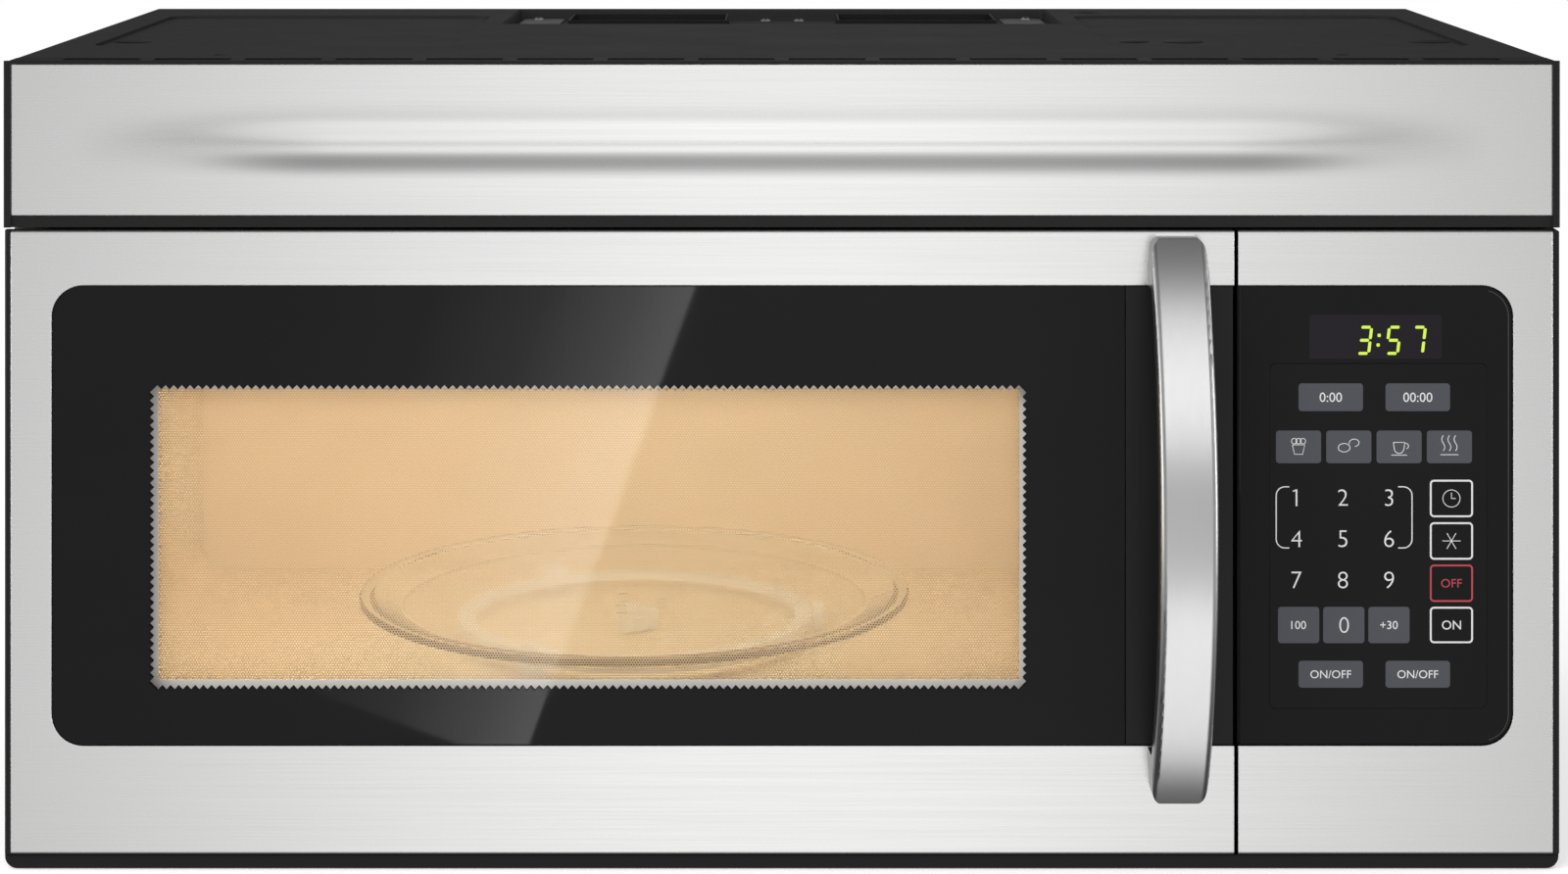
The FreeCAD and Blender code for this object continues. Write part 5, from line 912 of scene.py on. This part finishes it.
def pictograms(shape):
    """The four small signs, in millimetres round the middle of their keys."""
    tub, rounds, cup, steam = [(panel_x0 + left + width / 2, foot + height / 2 + 0.6)
                               for left, foot, width, height in icon_keys]
    x, z = tub
    drawn = [[(x - 3.0, z + 0.4), (x - 2.0, z - 4.2), (x + 2.0, z - 4.2), (x + 3.0, z + 0.4),
              (x - 3.0, z + 0.4)]]
    drawn += [turns(x + step, z + 2.2, 1.35, 1.35, 0, 360) for step in (-2.1, 0.0, 2.1)]
    x, z = rounds
    drawn += [turns(x - 2.3, z - 1.0, 2.9, 2.1, 0, 360), turns(x + 2.6, z + 1.4, 2.4, 1.8, -80, 200)]
    x, z = cup
    bowl = turns(x, z - 1.2, 2.4, 2.6, 180, 360, 8)
    drawn += [[(x - 2.8, z + 1.6), *bowl, (x + 2.8, z + 1.6), (x - 2.8, z + 1.6)],
              turns(x + 3.3, z - 0.2, 1.3, 1.3, 100, -80, 8), [(x - 3.8, z - 4.6), (x + 3.8, z - 4.6)]]
    x, z = steam
    drawn += [[(x + step + 0.75 * math.sin(t * math.pi / 4), z + t * 0.95 - 2.6) for t in range(9)]
              for step in (-3.0, 0.0, 3.0)]
    drawn.append([(x - 4.4, z - 4.4), (x + 4.4, z - 4.4)])
    for line in drawn:
        painted_line(shape, [(x * mm, z * mm) for x, z in line], line_width, print_front)


def square_signs(shape):
    """A clock face and a frost star for the two upper square keys."""
    x, z = key_middle(square_keys[0])
    painted_line(shape, turns(x, z, 4.2 * mm, 4.2 * mm, 0, 360, 20), line_width, print_front)
    painted_line(shape, [(x, z + 2.8 * mm), (x, z), (x + 2.0 * mm, z)], line_width, print_front)
    x, z = key_middle(square_keys[1])
    for angle in (0, 60, 120):
        arm = Vector((math.cos(math.radians(angle)), math.sin(math.radians(angle)))) * 4.4 * mm
        painted_line(shape, [(x - arm.x, z - arm.y), (x + arm.x, z + arm.y)], line_width, print_front)


def keypad_marks():
    shape = bmesh.new()
    columns = (250.8 * mm, 273.4 * mm, 295.9 * mm)
    for row, z in enumerate((181.3, 161.3, 141.2)):
        for column, x in enumerate(columns):
            lettering(shape, str(1 + column + 3 * row), digit_height, x, z * mm, print_front, digit_thin)
    one_x, one_top = columns[0] - 0.25 * mm, 181.3 * mm + digit_height / 2 - 0.4 * mm
    painted_line(shape, [(one_x, one_top), (one_x - 1.5 * mm, one_top - 0.5 * mm)], 0.75 * mm, print_front)
    grey_middle = key_middle(grey_keys[1])[1]
    lettering(shape, "0", digit_height * 0.95, 274.0 * mm, grey_middle, print_front, digit_thin)
    for words, key, height in (("100", grey_keys[0], 4.0), ("+30", grey_keys[2], 4.0),
                               ("ON", square_keys[3], 4.4), ("0:00", wide_keys[0], 4.6),
                               ("00:00", wide_keys[1], 4.6), ("ON/OFF", wide_keys[2], 3.9),
                               ("ON/OFF", wide_keys[3], 3.9)):
        lettering(shape, words, height * mm, *key_middle(key), print_front)
    for side_sign in (-1, 1):
        painted_line(shape, bracket(side_sign), bracket_width, print_front)
    pictograms(shape)
    square_signs(shape)
    return keep_piece(shape, "keypad_marks", "cabinet", "keys", print_white)


def red_mark():
    shape = bmesh.new()
    lettering(shape, "OFF", 4.2 * mm, *key_middle(square_keys[2]), print_front)
    return keep_piece(shape, "keypad_red_mark", "cabinet", "keys", print_red)


keypad_pieces += [keypad_marks(), red_mark()]
for piece in keypad_pieces:
    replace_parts(piece, "keypad_membrane")

# %% [markdown]
# ## The display
#
# A digit module shines through the dark glass. Its window is a shade lighter than the glass round it, and
# the digits are built from seven bars each, slanted a little, in the yellow green of such displays.

# %% Display
display_y = pad_low.y + 0.15 * mm
digit_y = pad_low.y + 0.05 * mm
lit_bars = {"3": "abgcd", "5": "afgcd", "7": "abc"}
display_digit_places = (("3", 279.7), ("5", 293.8), ("7", 305.9))
display_dot_places = ((289.8, 254.9), (290.3, 259.6))
dot_side = 1.6


def display_glow():
    material, tree, shader, spot = start_material("display_glow", {"Roughness": 0.4})
    marks = place_group(tree, handling_marks, spot)["Marks"]
    tint(tree, shader, marks, shades((0.30, 0.42, 0.03), 0.95, 1.05))
    shader.inputs["Emission Color"].default_value = (0.62, 0.82, 0.10, 1)
    shader.inputs["Emission Strength"].default_value = 0.66
    return material


def display_window():
    shape = bmesh.new()
    front_plate(shape, 257.2 * mm, 321.6 * mm, 249.0 * mm, 270.4 * mm, display_y, glass_low.y, 1 * mm)
    return keep_piece(shape, "display_window", "cabinet", "display", finish["display"])


def seven_segments(shape, digit, x0, z0, width, height, bar, lean):
    """One digit from bars: a top, b and c right, d foot, f left, g middle, with gaps between their ends."""
    half, gap = height / 2, bar * 0.85
    bars = {"a": (gap, width - gap, height - bar, height), "d": (gap, width - gap, 0, bar),
            "g": (gap, width - gap, half - bar / 2, half + bar / 2),
            "b": (width - bar, width, half + gap / 2, height - gap),
            "c": (width - bar, width, gap, half - gap / 2),
            "f": (0, bar, half + gap / 2, height - gap)}
    made = []
    for name in lit_bars[digit]:
        left, right, low, high = bars[name]
        before = set(shape.verts)
        front_plate(shape, x0 + left, x0 + right, z0 + low, z0 + high, digit_y, display_y, bar * 0.4, 3)
        made += [vertex for vertex in shape.verts if vertex not in before]
    for vertex in made:
        vertex.co.x += (vertex.co.z - z0) * lean


def display_digits():
    shape = bmesh.new()
    for digit, x0 in display_digit_places:
        seven_segments(shape, digit, x0 * mm, 250.9 * mm, 6.9 * mm, 14.2 * mm, 1.45 * mm, 0.115)
    for x, z in display_dot_places:
        front_plate(shape, x * mm, (x + dot_side) * mm, z * mm, (z + dot_side) * mm, digit_y, display_y,
                    0.5 * mm, 3)
    return keep_piece(shape, "display_digits", "cabinet", "display", display_glow())


def ground_edge_highlight():
    """The control glass is ground along its right side; its highlight is painted as a thin lighter line near
    that edge.
    """
    shape = bmesh.new()
    low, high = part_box("control_glass")
    inset, bend = 2.0 * mm, 13 * mm
    x, top, foot = high.x - inset, high.z - inset, low.z + inset
    upper = turns(x - bend, top - bend, bend, bend, 75, 0, 8)
    lower = turns(x - bend, foot + bend, bend, bend, 0, -75, 8)
    painted_line(shape, upper + lower, 0.55 * mm, low.y - 0.02 * mm)
    return keep_piece(shape, "control_glass_edge_highlight", "cabinet", "glass_black", painted_edge_highlight)


display_window()
display_digits()
ground_edge_highlight()

# %% [markdown]
# ## Wire mesh of the grease filters
#
# Each filter is a stack of expanded aluminium mesh in a rolled frame. One lattice near the lower face is
# enough to read as mesh. It starts as a grid turned by 45 degrees inside the frame, and its edges become
# wires.

# %% Filter mesh
mesh_cell = 7.0 * mm
wire_thick = 0.8 * mm
filter_frame_width = 10.5 * mm
mesh_recess = 1.4 * mm


def filter_mesh(side_name):
    low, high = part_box("grease_filter_" + side_name)
    width = high.x - low.x - 2 * filter_frame_width
    depth = high.y - low.y - 2 * filter_frame_width
    shape = bmesh.new()
    cells = int((width + depth) / mesh_cell)
    reach = cells * mesh_cell / 2
    bmesh.ops.create_grid(shape, x_segments=cells, y_segments=cells, size=reach)
    slanted = Matrix.Rotation(math.radians(45), 3, "Z")
    bmesh.ops.rotate(shape, verts=shape.verts, cent=(0, 0, 0), matrix=slanted)
    for normal, share in (((1, 0, 0), width / 2), ((-1, 0, 0), width / 2), ((0, 1, 0), depth / 2),
                          ((0, -1, 0), depth / 2)):
        bmesh.ops.bisect_plane(shape, geom=[*shape.verts, *shape.edges, *shape.faces],
                               plane_co=Vector(normal) * share, plane_no=normal, clear_outer=True)
    bmesh.ops.wireframe(shape, faces=list(shape.faces), thickness=wire_thick, use_replace=True,
                        use_boundary=True, use_even_offset=True)
    middle = ((low.x + high.x) / 2, (low.y + high.y) / 2, low.z + mesh_recess)
    bmesh.ops.scale(shape, verts=shape.verts, vec=(1, 1, 0.9))
    bmesh.ops.translate(shape, verts=shape.verts, vec=middle)
    return keep_piece(shape, "filter_mesh_" + side_name, "filter_" + side_name, "aluminium",
                      finish["aluminium"])


for side_name in ("left", "right"):
    filter_mesh(side_name)

# %% [markdown]
# ## The vent panel's roll
#
# The real panel is one sheet pressed with a long soft roll, which fades out towards both its ends. Its
# mirror image shows every change of slope, so the dressed panel is pressed again from a fine grid: every
# point moves forward by the roll's profile at its height and its share at that width.

# %% Vent panel
panel_low, panel_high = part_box("vent_panel")
panel_sheet = 1.0 * mm
panel_face = panel_high.y - panel_sheet
roll_centre = 0.3525
roll_rise = 3.5 * mm
roll_spread_above = 9.8 * mm
roll_spread_below = 10.5 * mm
roll_fade = 130 * mm
roll_end = 30 * mm


def roll(x, z):
    """How far the pressed sheet stands forward. The two sides of the roll have their own softness."""
    inside = (panel_high.x - roll_end - abs(x)) / roll_fade
    share = 0.5 - 0.5 * math.cos(math.pi * min(1.0, max(0.0, inside)))
    spread = roll_spread_above if z > roll_centre else roll_spread_below
    return roll_rise * share * math.exp(-((z - roll_centre) / spread) ** 2)


def vent_panel():
    shape = bmesh.new()
    width, height = panel_high.x - panel_low.x, panel_high.z - panel_low.z
    middle = (panel_low + panel_high) / 2
    bmesh.ops.create_grid(shape, x_segments=150, y_segments=74, size=0.5)
    place = Matrix.Translation((middle.x, panel_face, middle.z))
    size = Matrix.Diagonal((width, height, 1, 1))
    bmesh.ops.transform(shape, matrix=place @ to_front @ size, verts=shape.verts)
    for vertex in shape.verts:
        vertex.co.y -= roll(vertex.co.x, vertex.co.z)
    pull(shape, list(shape.faces), panel_sheet)
    for face in shape.faces:
        face.smooth = True
    piece = keep_piece(shape, "vent_panel_pressed", "cabinet", "stainless", finish["stainless"])
    piece.data.set_sharp_from_angle(angle=math.radians(40))
    return piece


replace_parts(vent_panel(), "vent_panel")

# %% [markdown]
# ## Screws
#
# Sheet steel cases are closed with pan head screws. Their heads are a few millimetres wide, so they are
# added here: on the blower plate, where the fixing strips of the next step will lie, and on the front
# plate round the oven's mouth, where they show with the door open.

# %% Screws
screw_radius = 3.4 * mm
screw_rise = 1.2 * mm
slot_width = 0.9 * mm


def screw_head(shape, place, axis):
    """A domed head with a cross recess, standing on a face along the axis."""
    before = set(shape.verts)
    bmesh.ops.create_uvsphere(shape, u_segments=20, v_segments=10, radius=screw_radius)
    ball = [vertex for vertex in shape.verts if vertex not in before]
    bmesh.ops.delete(shape, geom=[vertex for vertex in ball if vertex.co.z < -1e-6], context="VERTS")
    dome = [vertex for vertex in shape.verts if vertex not in before]
    for vertex in dome:
        level = vertex.co.z * screw_rise / screw_radius
        in_cross = min(abs(vertex.co.x), abs(vertex.co.y)) < slot_width / 2
        near = Vector((vertex.co.x, vertex.co.y)).length < screw_radius * 0.6
        vertex.co.z = level * 0.45 if in_cross and near else level
    turn = Vector((0, 0, 1)).rotation_difference(Vector(axis)).to_matrix().to_4x4()
    bmesh.ops.transform(shape, verts=dome, matrix=Matrix.Translation(place) @ turn)


def screws(name, places, axis):
    shape = bmesh.new()
    for place in places:
        screw_head(shape, place, axis)
    return keep_piece(shape, name, "cabinet", "spring_steel", finish["spring_steel"])


plate_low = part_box("cavity_front_plate")[0]
blower_low, blower_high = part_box("blower_plate")
blower_sheet = 0.8 * mm
top_level = blower_low.z + blower_sheet
strip_sheet = 0.8 * mm
middle_screw_x, strip_screw_x = 10 * mm, 146 * mm
screw_rows = (blower_low.y + 12 * mm, blower_high.y - 10 * mm)
front_spots = ((-0.364, 0.060), (-0.364, 0.160), (-0.364, 0.260), (0.204, 0.070), (0.204, 0.270),
               (0.0, 0.300), (-0.200, 0.300))
for name, x_far, level in (("blower_plate_screws", middle_screw_x, top_level),
                           ("fixing_strip_screws", strip_screw_x, top_level + strip_sheet)):
    screws(name, [(x, y, level) for x in (-x_far, x_far) for y in screw_rows], (0, 0, 1))
screws("front_plate_screws", [(x, plate_low.y, z) for x, z in front_spots], (0, -1, 0))

# %% [markdown]
# ## Fixing strips and plugs on the top
#
# Beside each outlet a bare zinced strip holds the blower plate down, and it shows as a grey patch on the
# black top. Round plugs close the spare holes of the pressed panels. Both are small, plain and flat.

# %% Strips and plugs
strip_x, strip_width = 142.5 * mm, 24 * mm
plug_level = cad_box[1].z - 1.6 * mm
plug_row = -0.238
plug_rise = 1.2 * mm
plug_sizes = ((-345, 10), (187, 8), (213, 11), (344, 11))


def fixing_strips():
    shape = bmesh.new()
    for side_sign in (-1, 1):
        centre = Vector((side_sign * strip_x, (blower_low.y + blower_high.y) / 2, top_level + strip_sheet / 2))
        size = Matrix.Diagonal((strip_width, blower_high.y - blower_low.y - 12 * mm, strip_sheet, 1))
        bmesh.ops.create_cube(shape, size=1.0, matrix=Matrix.Translation(centre) @ size)
    upright = [edge for edge in shape.edges if abs(edge.verts[0].co.z - edge.verts[1].co.z) > strip_sheet / 2]
    bmesh.ops.bevel(shape, geom=upright, offset=4 * mm, offset_type="OFFSET", segments=4, profile=0.5,
                    affect="EDGES", material=-1)
    dull_zinc = zinc("dull_zinc", (0.17, 0.175, 0.18), 0.45)
    return keep_piece(shape, "blower_fixing_strips", "cabinet", "zinc_steel", dull_zinc)


def hole_plugs():
    """Low domes: half a sphere each, pressed flat."""
    shape = bmesh.new()
    for x, radius in plug_sizes:
        press = Matrix.Diagonal((1, 1, plug_rise / (radius * mm), 1))
        bmesh.ops.create_uvsphere(shape, u_segments=28, v_segments=12, radius=radius * mm,
                                  matrix=Matrix.Translation((x * mm, plug_row, plug_level)) @ press)
    bmesh.ops.bisect_plane(shape, geom=[*shape.verts, *shape.edges, *shape.faces],
                           plane_co=(0, 0, plug_level), plane_no=(0, 0, -1), clear_outer=True)
    bmesh.ops.holes_fill(shape, edges=shape.edges, sides=0)
    return keep_piece(shape, "top_hole_plugs", "cabinet", "rubber", finish["black_plastic"])


fixing_strips()
hole_plugs()
